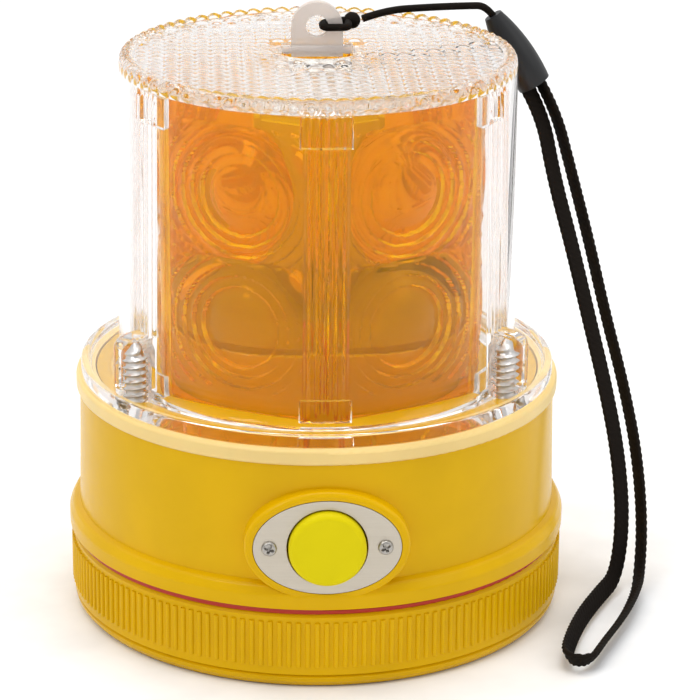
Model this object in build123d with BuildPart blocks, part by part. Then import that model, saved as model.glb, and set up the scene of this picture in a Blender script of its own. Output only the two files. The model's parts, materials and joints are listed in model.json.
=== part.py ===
"""A battery-powered magnetic warning light: a yellow housing with a screw-on battery cap and magnet,
a clear lens over an amber six-sided optic, a ring of LEDs, a push button and a wrist lanyard.

The frame is in millimetres. +Z is up, the button faces -Y, and the origin is the centre of the rubber
pad that the light stands on.
"""

import os
from math import cos, pi, radians, sin, tan

from build123d import *

# ---- driving sizes: the cap and its thread -------------------------------------------------------
CAP_PROUD = 2.0  # the cap's grip ribs stand this far outside the housing
RIB_HEIGHT = 0.55
RIB_COUNT = 172
CAP_WALL = 2.9
CAP_RISE = 7.7  # the cap's rim above its raised floor
CAP_FLOOR = 2.2
RIM_Z = 0.3  # the cap's rim stays this far off the ground
GROOVE_Z = 2.8
GRIP_LOW, GRIP_MARGIN = 5.0, 1.7
THREAD_LEAD = 12.0  # three ridges, 4 mm apart
THREAD_STARTS = 3
THREAD_DEPTH = 1.3
THREAD_PLAY = 0.5
SEAL_HEIGHT = 1.6
SEAL_INSET = 0.6

# ---- driving sizes: pad, magnet and contacts in the cap ------------------------------------------
PAD_RADIUS, PAD_HEIGHT = 44.0, 1.2
MAGNET_RADIUS, MAGNET_BORE, MAGNET_HEIGHT = 30.6, 10.0, 4.8
KEEPER_HEIGHT = 1.1
MAGNET_ROOF = 1.7
MAGNET_SCREW_CIRCLE = 22.0
MAGNET_SCREWS = 3
CONTACT_BOARD_MARGIN, BOARD_THICKNESS = 12.85, 1.2
CELL_SPRING_HEIGHT = 2.8

# ---- driving sizes: housing ----------------------------------------------------------------------
HOUSING_DRAFT = 0.5
HOUSING_WALL = 2.5
SKIRT_PROUD, SKIRT_HEIGHT = 0.3, 5.2  # beyond the cap
CELL_STAND = 14.05  # the cells stand this far above the gasket's step
STEP_WIDTH, DECK_RISE, DECK_THICKNESS = 3.6, 3.1, 2.4
BOSS_DROP = 2.4  # the lens screws bear this far under the step

# ---- driving sizes: cells and their holder -------------------------------------------------------
CELL_RADIUS, CELL_LENGTH, CELL_NUB_RADIUS, CELL_NUB_HEIGHT = 13.1, 50.0, 3.3, 1.3
CELL_COUNT = 3
CELL_GAP = 0.9
HOLDER_WALL = 1.5
CONTACT_THICKNESS = 0.4
HOLDER_FLANGE_WIDTH, HOLDER_FLANGE = 7.6, 2.2
HOLDER_SCREW_OFFSET = 4.4  # from the holder's wall

# ---- driving sizes: lens, gasket and amber optic -------------------------------------------------
GASKET_PROUD, GASKET_WIDTH, GASKET_HEIGHT = 0.8, 4.1, 3.5
LENS_HEIGHT, LENS_DRAFT = 68.8, 1.0  # the lens above its flange
LENS_WALL, LENS_ROOF = 2.3, 2.2
LEDGE_WIDTH, FLANGE_INSET = 8.2, 0.3
FLANGE_THICKNESS, LIP_WIDTH, LIP_HEIGHT = 1.6, 2.0, 1.3
LENS_SCREW_INSET, LENS_SCREWS = 6.2, 3
BOSS_RADIUS, BOSS_HEIGHT = 4.6, 13.4
BAND_COUNT, BAND_RIBS, BAND_RIB_PITCH = 6, 6, 1.6
BAND_RIB_WIDTH, BAND_RIB_DEPTH = 0.7, 0.6
LOCATOR_WIDTH, LOCATOR_HEIGHT, LOCATOR_DEPTH = 10.8, 6.0, 1.3
OPTIC_WALL, OPTIC_CORNER = 2.0, 4.0
OPTIC_ROOM, OPTIC_PLAY = 0.6, 0.92  # to the holder inside it, and to the lens's locating ribs
OPTIC_HEADROOM = 2.2
LENS_RING_RADIUS, LENS_RING_HEIGHT = 14.4, 0.6
ROW_SPACING, ROW_MARGIN = 28.5, 3.4

# ---- driving sizes: fold-down hang loop and its pocket -------------------------------------------
LOOP_WIDTH, LOOP_THICKNESS, LOOP_LENGTH, LOOP_HOLE_RADIUS = 11.0, 2.0, 10.5, 2.4
LOOP_HOLE_UP = 5.3  # hole centre above the pivot
PIVOT_Y, PIVOT_DROP, PIN_RADIUS = 7.0, 1.0, 0.8
POCKET_HALF_WIDTH, POCKET_BACK, POCKET_FRONT = 7.8, 8.6, -4.6
POCKET_DEPTH, POCKET_FLOOR = 4.6, 1.4

# ---- driving sizes: LED tower --------------------------------------------------------------------
CONTROL_BOARD_INSET = 1.4  # inside the holder's wall
TOWER_APOTHEM, TOWER_HEADROOM, TOWER_BORE = 12.0, 6.6, 8.0
LED_BOARD_WIDTH, LED_BOARD_MARGIN = 12.6, 1.0
LED_SIZE, LED_HEIGHT, LED_DOME = 5.0, 1.5, 2.2

# ---- driving sizes: push button and its plate ----------------------------------------------------
BUTTON_RADIUS, BUTTON_TRAVEL = 8.0, 1.2
BUTTON_PROUD = 2.0
PLATE_WIDTH, PLATE_HEIGHT, PLATE_THICKNESS = 30.4, 20.4, 0.8
BEZEL_MARGIN, BEZEL_RISE, BEZEL_PROUD = 1.9, 1.6, 2.0
PLATE_SCREW_SPACING = 23.8
SWITCH_SETBACK = 10.6  # the switch board behind the bezel's face
SWITCH_SIZE, SWITCH_DEPTH, PLUNGER_RADIUS, PLUNGER_LENGTH = 6.0, 3.5, 1.7, 1.6

# ---- driving sizes: lanyard ----------------------------------------------------------------------
STRING_RADIUS = 0.8
STRAP_RADIUS = 1.45  # a round stand-in with the flat strap's section area
SLEEVE_TOP_RADIUS, SLEEVE_END_RADIUS, KNOT_RADIUS = 2.0, 3.7, 1.8

# ---- clearances ----------------------------------------------------------------------------------
FIT = 0.15  # between rigid pieces that are assembled
MOVING = 0.3  # between pieces that move on each other
TOUCH = 0.05  # between pieces that only bear on each other

# ---- sizes that follow from the driving ones -----------------------------------------------------
MAGNET_Z = PAD_HEIGHT + TOUCH
KEEPER_Z = MAGNET_Z + MAGNET_HEIGHT
ROOF_UNDERSIDE = KEEPER_Z + KEEPER_HEIGHT + TOUCH
ROOF_Z = ROOF_UNDERSIDE + MAGNET_ROOF
MAGNET_WELL = MAGNET_RADIUS + FIT
CONTACT_BOARD_TOP = ROOF_Z + BOARD_THICKNESS
CELL_Z = CONTACT_BOARD_TOP + CELL_SPRING_HEIGHT + TOUCH
CELL_TOP = CELL_Z + CELL_LENGTH
CELL_CIRCLE = (2 * CELL_RADIUS + CELL_GAP) / (2 * sin(pi / CELL_COUNT))
CONTACT_BOARD_RADIUS = CELL_CIRCLE + CONTACT_BOARD_MARGIN
HOLDER_RADIUS = CELL_CIRCLE + CELL_RADIUS + FIT + HOLDER_WALL
HOLDER_FLANGE_RADIUS = HOLDER_RADIUS + HOLDER_FLANGE_WIDTH
HOLDER_SCREW_CIRCLE = HOLDER_RADIUS + HOLDER_SCREW_OFFSET
HOLDER_Z = CELL_Z + MOVING
HOLDER_DECK = CELL_TOP + CONTACT_THICKNESS + 2 * TOUCH
HOLDER_TOP = HOLDER_DECK + 2.0
CONTROL_BOARD_RADIUS = HOLDER_RADIUS - CONTROL_BOARD_INSET
CONTROL_Z = HOLDER_TOP + TOUCH
TOWER_Z = CONTROL_Z + BOARD_THICKNESS + TOUCH
OPTIC_APOTHEM = HOLDER_RADIUS + OPTIC_ROOM + OPTIC_WALL
OPTIC_REACH = (OPTIC_APOTHEM - OPTIC_CORNER) / cos(pi / 6) + OPTIC_CORNER  # over its rounded corners
LENS_RADIUS_TOP = OPTIC_REACH + OPTIC_PLAY + LOCATOR_DEPTH + LENS_WALL
LENS_RADIUS_LOW = LENS_RADIUS_TOP + LENS_DRAFT
LENS_INSIDE_LOW = LENS_RADIUS_LOW - LENS_WALL
LENS_INSIDE_TOP = LENS_RADIUS_TOP - LENS_WALL
FLANGE_RADIUS = LENS_RADIUS_LOW + LEDGE_WIDTH
LENS_SCREW_CIRCLE = FLANGE_RADIUS - LENS_SCREW_INSET
HOUSING_RADIUS_TOP = FLANGE_RADIUS + FLANGE_INSET
HOUSING_RADIUS_LOW = HOUSING_RADIUS_TOP + HOUSING_DRAFT
GASKET_RADIUS = HOUSING_RADIUS_TOP + GASKET_PROUD
STEP_RADIUS = HOUSING_RADIUS_TOP - STEP_WIDTH
CAP_RADIUS = HOUSING_RADIUS_LOW + CAP_PROUD  # over the grip ribs
SEAL_RADIUS = CAP_RADIUS - SEAL_INSET
SKIRT_RADIUS = CAP_RADIUS + SKIRT_PROUD
CAP_BODY_RADIUS = CAP_RADIUS - RIB_HEIGHT
CAP_INSIDE = CAP_BODY_RADIUS - CAP_WALL
CREST_RADIUS = CAP_INSIDE - THREAD_PLAY  # the housing thread's crest
SPIGOT_RADIUS = CREST_RADIUS - THREAD_DEPTH
CAP_CREST_RADIUS = CAP_INSIDE - THREAD_DEPTH + THREAD_PLAY / 2
SPIGOT_Z = ROOF_Z + 1.0
SPIGOT_WALL = 2.2
CAP_TOP = ROOF_Z + CAP_RISE
GRIP_HIGH = CAP_TOP - GRIP_MARGIN
SKIRT_Z = CAP_TOP + SEAL_HEIGHT
STEP_Z = CELL_TOP - CELL_STAND
DECK_Z = STEP_Z + DECK_RISE
DECK_HOLE = HOLDER_RADIUS + 1.0
DECK_UNDERSIDE = DECK_Z - DECK_THICKNESS
BOSS_SEAT = STEP_Z - BOSS_DROP
GASKET_TOP = STEP_Z + GASKET_HEIGHT
FLANGE_Z = GASKET_TOP + FLANGE_THICKNESS
BOSS_TOP = FLANGE_Z + BOSS_HEIGHT
LENS_TOP = FLANGE_Z + LENS_HEIGHT
TOP_FACE = LENS_TOP - 0.8
OPTIC_Z = DECK_Z + TOUCH
OPTIC_TOP = TOP_FACE - LENS_ROOF - OPTIC_HEADROOM
TOWER_TOP = OPTIC_TOP - TOWER_HEADROOM
UPPER_ROW = OPTIC_TOP - ROW_MARGIN - LENS_RING_RADIUS
LOWER_ROW = UPPER_ROW - ROW_SPACING
BEZEL_WIDTH, BEZEL_HEIGHT = PLATE_WIDTH + 2 * BEZEL_MARGIN, PLATE_HEIGHT + 2 * BEZEL_MARGIN
BEZEL_FACE = HOUSING_RADIUS_LOW + BEZEL_PROUD  # distance of the bezel's face from the axis
BUTTON_Z = SKIRT_Z + BEZEL_RISE + BEZEL_HEIGHT / 2
SWITCH_BOARD_FACE = BEZEL_FACE - SWITCH_SETBACK
FRONT = -BEZEL_FACE
PLATE_SEAT = FRONT + PLATE_THICKNESS
BUTTON_FACE = FRONT - BUTTON_PROUD
WIRE_SLOT_WIDTH, WIRE_SLOT_RADIUS = 8.0, HOLDER_RADIUS + 5.2


def front_plane(depth):
    """A vertical sketch plane at y = depth whose normal points forwards, to -Y, centred on the button."""
    return Plane(origin=(0, depth, BUTTON_Z), x_dir=(1, 0, 0), z_dir=(0, -1, 0))


def at_angle(radius, angle, z=0.0):
    """The point at that radius, at an angle counted from the front (-Y) towards +X."""
    return (radius * sin(radians(angle)), -radius * cos(radians(angle)), z)


def side_plane(radius, angle, z):
    """A vertical sketch plane facing outwards at that radius and angle from the front."""
    outward = at_angle(1, angle)
    return Plane(origin=at_angle(radius, angle, z), x_dir=(cos(radians(angle)), sin(radians(angle)), 0),
                 z_dir=outward)


def spots(radius, count, first=0.0):
    """Evenly spaced places round the axis, the first at that angle from the front."""
    return [Location(at_angle(radius, first + 360 * i / count)) for i in range(count)]


def thread_ridge(root, crest, start_angle, z):
    """One helical ridge between two radii. It sinks a little into the wall that carries it."""
    sink = 0.25 if crest > root else -0.25
    half_root, half_crest = 0.8, 0.45
    with BuildPart(mode=Mode.PRIVATE) as ridge:
        with BuildLine() as path:
            Helix(THREAD_LEAD, THREAD_LEAD / THREAD_STARTS, root, center=(0, 0, z))
        with BuildSketch(Plane(origin=(root, 0, z), x_dir=(1, 0, 0), z_dir=(0, 1, 0))):
            Polygon((-sink, -half_root), (crest - root, -half_crest), (crest - root, half_crest),
                    (-sink, half_root), align=None)
        sweep(path=path.line, is_frenet=True)
    return ridge.part.rotate(Axis.Z, start_angle)


def pan_screw(length, shank, head, head_height):
    """A pan-head screw, head up: its bearing face is at z = 0 and its shank points down."""
    with BuildPart(mode=Mode.PRIVATE) as screw:
        with BuildSketch():
            Circle(head)
        extrude(amount=head_height)
        fillet(screw.faces().sort_by(Axis.Z)[-1].edges(), head_height * 0.6)
        with BuildSketch():
            Circle(shank)
        extrude(amount=-length)
        chamfer(screw.faces().sort_by(Axis.Z)[0].edges(), shank * 0.5)
        with BuildSketch(Plane.XY.offset(head_height)):
            Rectangle(head * 1.1, head * 0.3)
            Rectangle(head * 0.3, head * 1.1)
        extrude(amount=-head_height * 0.6, mode=Mode.SUBTRACT)
    return screw.part


def tube_along(points, radii, radius):
    """A round tube along straight runs joined by tangent arcs, with one radius for each corner."""
    with BuildPart(mode=Mode.PRIVATE) as tube:
        with BuildLine() as route:
            FilletPolyline(*points, radius=radii)
        with BuildSketch(Plane(origin=route.line @ 0, z_dir=route.line % 0)):
            Circle(radius)
        sweep(path=route.line, transition=Transition.ROUND)
    return tube.part, sum(edge.length for edge in route.edges())


def corner_radii(points, share=0.45):
    """For each corner, share of its shorter run over the tangent of half the turn."""
    ends = [Vector(*p) for p in points]
    radii = []
    for before, here, after in zip(ends, ends[1:], ends[2:]):
        first, second = here - before, after - here
        half_turn = radians(first.get_angle(second)) / 2
        radii.append(share * min(first.length, second.length) / tan(half_turn))
    return radii


# ---- base pad: the rubber disc that the light stands on ------------------------------------------
with BuildPart() as base_pad:
    with BuildSketch():
        Circle(PAD_RADIUS)
    extrude(amount=PAD_HEIGHT)
    chamfer(base_pad.faces().sort_by(Axis.Z)[0].edges(), 0.4)

# ---- magnet: a ceramic ring ----------------------------------------------------------------------
with BuildPart() as magnet:
    with BuildSketch(Plane.XY.offset(MAGNET_Z)):
        Circle(MAGNET_RADIUS)
        Circle(MAGNET_BORE, mode=Mode.SUBTRACT)
    extrude(amount=MAGNET_HEIGHT)
    chamfer(magnet.faces().sort_by(Axis.Z)[0].edges(), 0.5)

# ---- magnet keeper: the steel plate behind the ring ----------------------------------------------
magnet_screw_spots = spots(MAGNET_SCREW_CIRCLE, MAGNET_SCREWS, 60)
SCREW_CORE = 1.2
with BuildPart() as magnet_keeper:
    with BuildSketch(Plane.XY.offset(KEEPER_Z)):
        Circle(MAGNET_RADIUS)
        with Locations(*magnet_screw_spots):
            Circle(SCREW_CORE + TOUCH, mode=Mode.SUBTRACT)
    extrude(amount=KEEPER_HEIGHT)

# ---- magnet screws: countersunk, from inside the cap into the keeper -----------------------------
COUNTERSINK = 2.4
with BuildPart() as magnet_screws:
    with Locations(*[Location((s.position.X, s.position.Y, ROOF_Z)) for s in magnet_screw_spots]):
        Cone(SCREW_CORE, COUNTERSINK, COUNTERSINK - SCREW_CORE,
             align=(Align.CENTER, Align.CENTER, Align.MAX))
        Cylinder(SCREW_CORE, ROOF_Z - KEEPER_Z - TOUCH, align=(Align.CENTER, Align.CENTER, Align.MAX))

# ---- battery cap: grip ring, floor, magnet well and inside thread --------------------------------
with BuildPart() as battery_cap:
    with BuildSketch(Plane.XZ):
        with BuildLine():
            Polyline((0, PAD_HEIGHT), (PAD_RADIUS + FIT, PAD_HEIGHT), (PAD_RADIUS + FIT, RIM_Z),
                     (CAP_BODY_RADIUS - 1.2, RIM_Z), (CAP_BODY_RADIUS - 0.2, RIM_Z + 1.2),
                     (CAP_BODY_RADIUS, GROOVE_Z - 0.4), (CAP_BODY_RADIUS - 0.5, GROOVE_Z),
                     (CAP_BODY_RADIUS + 0.1, GROOVE_Z + 0.4), (CAP_BODY_RADIUS, CAP_TOP - 0.6),
                     (CAP_BODY_RADIUS - 0.6, CAP_TOP), (CAP_INSIDE, CAP_TOP),
                     (CAP_INSIDE, PAD_HEIGHT + CAP_FLOOR),
                     (MAGNET_WELL + CAP_FLOOR, PAD_HEIGHT + CAP_FLOOR),
                     (MAGNET_WELL + CAP_FLOOR, ROOF_Z), (0, ROOF_Z), close=True)
        make_face()
    revolve(axis=Axis.Z)
    with BuildSketch(Plane.XY.offset(PAD_HEIGHT)):
        Circle(MAGNET_WELL)
    extrude(amount=ROOF_UNDERSIDE - PAD_HEIGHT, mode=Mode.SUBTRACT)
    with BuildSketch(Plane.XY.offset(GRIP_LOW)):
        Circle(CAP_BODY_RADIUS)
        with PolarLocations(CAP_BODY_RADIUS, RIB_COUNT):
            Circle(RIB_HEIGHT)
        Circle(CAP_BODY_RADIUS - CAP_WALL / 2, mode=Mode.SUBTRACT)
    extrude(amount=GRIP_HIGH - GRIP_LOW)
    with Locations(*[Location((s.position.X, s.position.Y, ROOF_Z)) for s in magnet_screw_spots]):
        Cone(SCREW_CORE + TOUCH, COUNTERSINK + TOUCH, COUNTERSINK - SCREW_CORE,
             align=(Align.CENTER, Align.CENTER, Align.MAX), mode=Mode.SUBTRACT)
        Cylinder(SCREW_CORE + TOUCH, MAGNET_ROOF, align=(Align.CENTER, Align.CENTER, Align.MAX),
                 mode=Mode.SUBTRACT)
    Hole(SCREW_CORE + TOUCH)
    for start in range(THREAD_STARTS):
        add(thread_ridge(CAP_INSIDE, CAP_CREST_RADIUS, (start + 0.5) * 360 / THREAD_STARTS, SPIGOT_Z + 1.1))

# ---- contact board: the round board in the cap, its screw and the three cell springs -------------
with BuildPart() as contact_board:
    with BuildSketch(Plane.XY.offset(ROOF_Z)):
        Circle(CONTACT_BOARD_RADIUS)
        Circle(SCREW_CORE + TOUCH, mode=Mode.SUBTRACT)
    extrude(amount=BOARD_THICKNESS)

with BuildPart() as contact_board_screw:
    with Locations((0, 0, CONTACT_BOARD_TOP)):
        add(pan_screw(BOARD_THICKNESS + MAGNET_ROOF - TOUCH, SCREW_CORE, 2.4, 1.3))

SPRING_WIRE = 0.45
cell_spots = spots(CELL_CIRCLE, CELL_COUNT, 60)
with BuildPart(mode=Mode.PRIVATE) as one_spring:
    with BuildLine() as coil:
        Helix(0.95, CELL_SPRING_HEIGHT - 2 * SPRING_WIRE, 5.4, center=(0, 0, SPRING_WIRE), cone_angle=-32)
    with BuildSketch(Plane(origin=coil.line @ 0, z_dir=coil.line % 0)):
        Circle(SPRING_WIRE)
    sweep(path=coil.line, is_frenet=True)
with BuildPart() as cell_springs:
    with Locations(*[Location((s.position.X, s.position.Y, CONTACT_BOARD_TOP)) for s in cell_spots]):
        add(one_spring.part)

# ---- cap seal: the red ring between cap and housing ----------------------------------------------
with BuildPart() as cap_seal:
    with BuildSketch(Plane.XY.offset(CAP_TOP + TOUCH)):
        Circle(SEAL_RADIUS)
        Circle(CREST_RADIUS + MOVING, mode=Mode.SUBTRACT)
    extrude(amount=SEAL_HEIGHT - 2 * TOUCH)
    fillet(cap_seal.edges().group_by(SortBy.LENGTH)[-1], 0.5)

# ---- housing: skirt, wall, deck, switch bezel and outside thread ---------------------------------
lens_screw_spots = spots(LENS_SCREW_CIRCLE, LENS_SCREWS, 60)
holder_screw_spots = spots(HOLDER_SCREW_CIRCLE, 3, 60)
LENS_SCREW_RADIUS, HOLDER_SCREW_RADIUS = 2.1, 1.4
inside = HOUSING_RADIUS_LOW - HOUSING_WALL
PLATE_SCREW_CORE, BOARD_SCREW_CORE = 0.8, 0.8
BOARD_WIDTH, BOARD_HEIGHT = 30.0, 20.0
boss_across, boss_up = BOARD_WIDTH / 2 - 2.6, BOARD_HEIGHT / 2 - 2.6
board_boss_spots = [(-boss_across, boss_up), (boss_across, -boss_up)]
with BuildPart(mode=Mode.PRIVATE) as bezel:
    with BuildSketch(front_plane(-SPIGOT_RADIUS)):
        Ellipse(BEZEL_WIDTH / 2, BEZEL_HEIGHT / 2)
    extrude(amount=BEZEL_FACE - SPIGOT_RADIUS)
    fillet(bezel.faces().sort_by(Axis.Y)[0].edges(), 1.1)

with BuildPart() as housing:
    with BuildSketch(Plane.XZ):
        with BuildLine():
            Polyline((SPIGOT_RADIUS, SPIGOT_Z + 0.6), (SPIGOT_RADIUS, SKIRT_Z), (SKIRT_RADIUS, SKIRT_Z),
                     (SKIRT_RADIUS, SKIRT_Z + SKIRT_HEIGHT * 0.55),
                     (SKIRT_RADIUS - 0.9, SKIRT_Z + SKIRT_HEIGHT * 0.9),
                     (HOUSING_RADIUS_LOW, SKIRT_Z + SKIRT_HEIGHT), (HOUSING_RADIUS_TOP, STEP_Z),
                     (HOUSING_RADIUS_TOP, DECK_Z), (0, DECK_Z), (0, SPIGOT_Z),
                     (SPIGOT_RADIUS - 0.6, SPIGOT_Z), close=True)
        make_face()
    revolve(axis=Axis.Z)
    fillet(housing.edges().filter_by_position(Axis.Z, SKIRT_Z + 1, SKIRT_Z + SKIRT_HEIGHT * 0.95), 1.0)
    add(bezel.part)
    with BuildSketch(Plane.XY.offset(STEP_Z)):
        Circle(HOUSING_RADIUS_TOP + 1)
        Circle(STEP_RADIUS, mode=Mode.SUBTRACT)
    extrude(amount=DECK_Z, mode=Mode.SUBTRACT)
    with BuildSketch(Plane.XZ):
        with BuildLine():
            Polyline((0, SPIGOT_Z), (SPIGOT_RADIUS - SPIGOT_WALL, SPIGOT_Z),
                     (SPIGOT_RADIUS - SPIGOT_WALL, SKIRT_Z + 1), (inside, SKIRT_Z + SKIRT_HEIGHT - 1),
                     (HOUSING_RADIUS_TOP - HOUSING_WALL, BOSS_SEAT),
                     (STEP_RADIUS - HOUSING_WALL, BOSS_SEAT),
                     (STEP_RADIUS - HOUSING_WALL, DECK_UNDERSIDE), (0, DECK_UNDERSIDE), close=True)
        make_face()
    revolve(axis=Axis.Z, mode=Mode.SUBTRACT)
    with BuildSketch(Plane.XY.offset(BOSS_SEAT)):
        with Locations(*lens_screw_spots):
            Circle(LENS_SCREW_RADIUS + 1.8)
    extrude(amount=STEP_Z - BOSS_SEAT)
    with BuildSketch(Plane.XY.offset(DECK_UNDERSIDE - 4)):
        Circle(DECK_HOLE)
        with Locations((0, -WIRE_SLOT_RADIUS / 2)):
            Rectangle(WIRE_SLOT_WIDTH, WIRE_SLOT_RADIUS)
        with Locations(*lens_screw_spots):
            Circle(LENS_SCREW_RADIUS + FIT)
        with Locations(*holder_screw_spots):
            Circle(HOLDER_SCREW_RADIUS + TOUCH)
    extrude(amount=DECK_Z, mode=Mode.SUBTRACT)
    with BuildSketch(front_plane(PLATE_SEAT)):
        Ellipse(PLATE_WIDTH / 2 + FIT, PLATE_HEIGHT / 2 + FIT)
    extrude(amount=10, mode=Mode.SUBTRACT)
    with BuildSketch(front_plane(-inside + 4)):
        Circle(BUTTON_RADIUS + MOVING)
        with Locations((-PLATE_SCREW_SPACING / 2, 0), (PLATE_SCREW_SPACING / 2, 0)):
            Circle(PLATE_SCREW_CORE + TOUCH)
    extrude(amount=10, mode=Mode.SUBTRACT)
    with BuildSketch(front_plane(-SWITCH_BOARD_FACE - TOUCH)):
        with Locations(*board_boss_spots):
            Circle(2.2)
    extrude(amount=inside - SWITCH_BOARD_FACE)
    with BuildSketch(front_plane(-SWITCH_BOARD_FACE)):
        with Locations(*board_boss_spots):
            Circle(BOARD_SCREW_CORE + TOUCH)
    extrude(amount=4, mode=Mode.SUBTRACT)
    for start in range(THREAD_STARTS):
        add(thread_ridge(SPIGOT_RADIUS, CREST_RADIUS, start * 360 / THREAD_STARTS, SPIGOT_Z + 1.1))

# ---- battery holder: three tubes in one body, hung from the housing's deck -----------------------
FLANGE_TOP = DECK_UNDERSIDE - TOUCH
contact_spots = [Location((s.position.X, s.position.Y, CELL_TOP + TOUCH)) for s in cell_spots]
CONTACT_RADIUS = 8.0
with BuildPart() as battery_holder:
    with BuildSketch(Plane.XY.offset(HOLDER_Z)):
        Circle(HOLDER_RADIUS)
    extrude(amount=HOLDER_TOP - HOLDER_Z)
    with BuildSketch(Plane.XY.offset(FLANGE_TOP)):
        Circle(HOLDER_FLANGE_RADIUS)
        with Locations((0, -HOLDER_FLANGE_RADIUS)):
            Rectangle(WIRE_SLOT_WIDTH, 2 * (HOLDER_FLANGE_RADIUS - HOLDER_RADIUS - 0.6), mode=Mode.SUBTRACT)
    extrude(amount=-HOLDER_FLANGE)
    with BuildSketch(Plane.XY.offset(HOLDER_Z)):
        with Locations(*cell_spots):
            Circle(CELL_RADIUS + FIT)
    extrude(amount=HOLDER_DECK - HOLDER_Z, mode=Mode.SUBTRACT)
    with BuildSketch(Plane.XY.offset(FLANGE_TOP)):
        with Locations(*holder_screw_spots):
            Circle(HOLDER_SCREW_RADIUS + FIT)
    extrude(amount=-HOLDER_FLANGE, mode=Mode.SUBTRACT)
    with BuildSketch(Plane.XY.offset(HOLDER_TOP)):
        with Locations(*cell_spots):
            Circle(2.0)
    extrude(amount=HOLDER_DECK - HOLDER_TOP, mode=Mode.SUBTRACT)
    with BuildSketch(Plane.XY.offset(HOLDER_TOP)):
        with Locations(*spots(CONTROL_BOARD_RADIUS - 3, 3)):
            Circle(BOARD_SCREW_CORE + TOUCH)
    extrude(amount=-1.8, mode=Mode.SUBTRACT)

with BuildPart() as holder_screws:
    with Locations(*[Location((s.position.X, s.position.Y, FLANGE_TOP - HOLDER_FLANGE), (180, 0, 0))
                     for s in holder_screw_spots]):
        add(pan_screw(HOLDER_FLANGE + DECK_THICKNESS - 0.4, HOLDER_SCREW_RADIUS, 2.6, 1.8))

# ---- cells and their upper contacts --------------------------------------------------------------
with BuildPart(mode=Mode.PRIVATE) as one_cell:
    with BuildSketch():
        Circle(CELL_RADIUS)
    extrude(amount=CELL_LENGTH - CELL_NUB_HEIGHT)
    fillet(one_cell.edges().filter_by(GeomType.CIRCLE), 0.7)
    with BuildSketch(Plane.XY.offset(CELL_LENGTH - CELL_NUB_HEIGHT)):
        Circle(CELL_NUB_RADIUS)
    extrude(amount=CELL_NUB_HEIGHT)
with BuildPart() as cells:
    with Locations(*[Location((s.position.X, s.position.Y, CELL_Z)) for s in cell_spots]):
        add(one_cell.part)

with BuildPart() as cell_contacts:
    with Locations(*contact_spots):
        Cylinder(CONTACT_RADIUS, CONTACT_THICKNESS, align=(Align.CENTER, Align.CENTER, Align.MIN))
        Cylinder(1.6, HOLDER_TOP - CELL_TOP - 2 * TOUCH, align=(Align.CENTER, Align.CENTER, Align.MIN))

# ---- control board, its parts and screws ---------------------------------------------------------
CONTROL_TOP = CONTROL_Z + BOARD_THICKNESS
with BuildPart() as control_board:
    with BuildSketch(Plane.XY.offset(CONTROL_Z)):
        Circle(CONTROL_BOARD_RADIUS)
        with Locations(*spots(CONTROL_BOARD_RADIUS - 3, 3)):
            Circle(BOARD_SCREW_CORE + FIT, mode=Mode.SUBTRACT)
    extrude(amount=BOARD_THICKNESS)

with BuildPart() as control_board_screws:
    with Locations(*[Location((s.position.X, s.position.Y, CONTROL_TOP))
                     for s in spots(CONTROL_BOARD_RADIUS - 3, 3)]):
        add(pan_screw(BOARD_THICKNESS + 1.6, BOARD_SCREW_CORE, 1.7, 1.1))

CHIP_SPOT = at_angle(21.5, 150, CONTROL_TOP + 0.2)
with BuildPart() as control_chip:
    with Locations(CHIP_SPOT):
        Box(6.0, 5.0, 1.4, align=(Align.CENTER, Align.CENTER, Align.MIN))
    chamfer(control_chip.faces().sort_by(Axis.Z)[-1].edges(), 0.25)
    with Locations((CHIP_SPOT[0], CHIP_SPOT[1], CONTROL_TOP)):
        with GridLocations(1.27, 6.2, 4, 2):
            Box(0.5, 1.6, 0.35, align=(Align.CENTER, Align.CENTER, Align.MIN))

with BuildPart() as capacitor:
    with Locations(at_angle(21.5, 90, CONTROL_TOP)):
        Cylinder(3.1, 7.0, align=(Align.CENTER, Align.CENTER, Align.MIN))
    fillet(capacitor.edges().group_by(Axis.Z)[-1], 0.5)

with BuildPart() as light_sensor:
    with Locations(at_angle(21.5, 270, CONTROL_TOP)):
        Cylinder(2.5, 2.0, align=(Align.CENTER, Align.CENTER, Align.MIN))
    fillet(light_sensor.edges().group_by(Axis.Z)[-1], 0.6)

# ---- LED tower: a hollow six-sided post with a board on every side -------------------------------
TOWER_HEIGHT = TOWER_TOP - TOWER_Z
tower_faces = [360 * (i + 0.5) / 6 for i in range(6)]
board_low, board_high = CONTROL_TOP + LED_BOARD_MARGIN, TOWER_TOP - LED_BOARD_MARGIN
with BuildPart() as led_tower:
    with BuildSketch(Plane.XY.offset(TOWER_Z)):
        RegularPolygon(TOWER_APOTHEM, 6, major_radius=False, rotation=30)
        Circle(TOWER_BORE, mode=Mode.SUBTRACT)
    extrude(amount=TOWER_HEIGHT)
    upright = led_tower.edges().filter_by(Axis.Z)
    fillet(upright.group_by(lambda edge: edge.center().X**2 + edge.center().Y**2)[-1], 0.8)

with BuildPart() as led_boards:
    for angle in tower_faces:
        with BuildSketch(side_plane(TOWER_APOTHEM + TOUCH, angle, (board_low + board_high) / 2)):
            Rectangle(LED_BOARD_WIDTH, board_high - board_low)
        extrude(amount=BOARD_THICKNESS)


def led_row(z):
    """Six square LED packages with domes, one on each side of the tower."""
    face = TOWER_APOTHEM + 2 * TOUCH + BOARD_THICKNESS
    with BuildPart(mode=Mode.PRIVATE) as row:
        for angle in tower_faces:
            with BuildSketch(side_plane(face, angle, z)):
                Rectangle(LED_SIZE, LED_SIZE)
            extrude(amount=LED_HEIGHT)
            with BuildSketch(side_plane(face + LED_HEIGHT, angle, z)):
                Circle(LED_DOME)
            extrude(amount=LED_DOME * 0.8, taper=18)
    return row.part


with BuildPart() as lower_leds:
    add(led_row(LOWER_ROW + 2))

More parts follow.
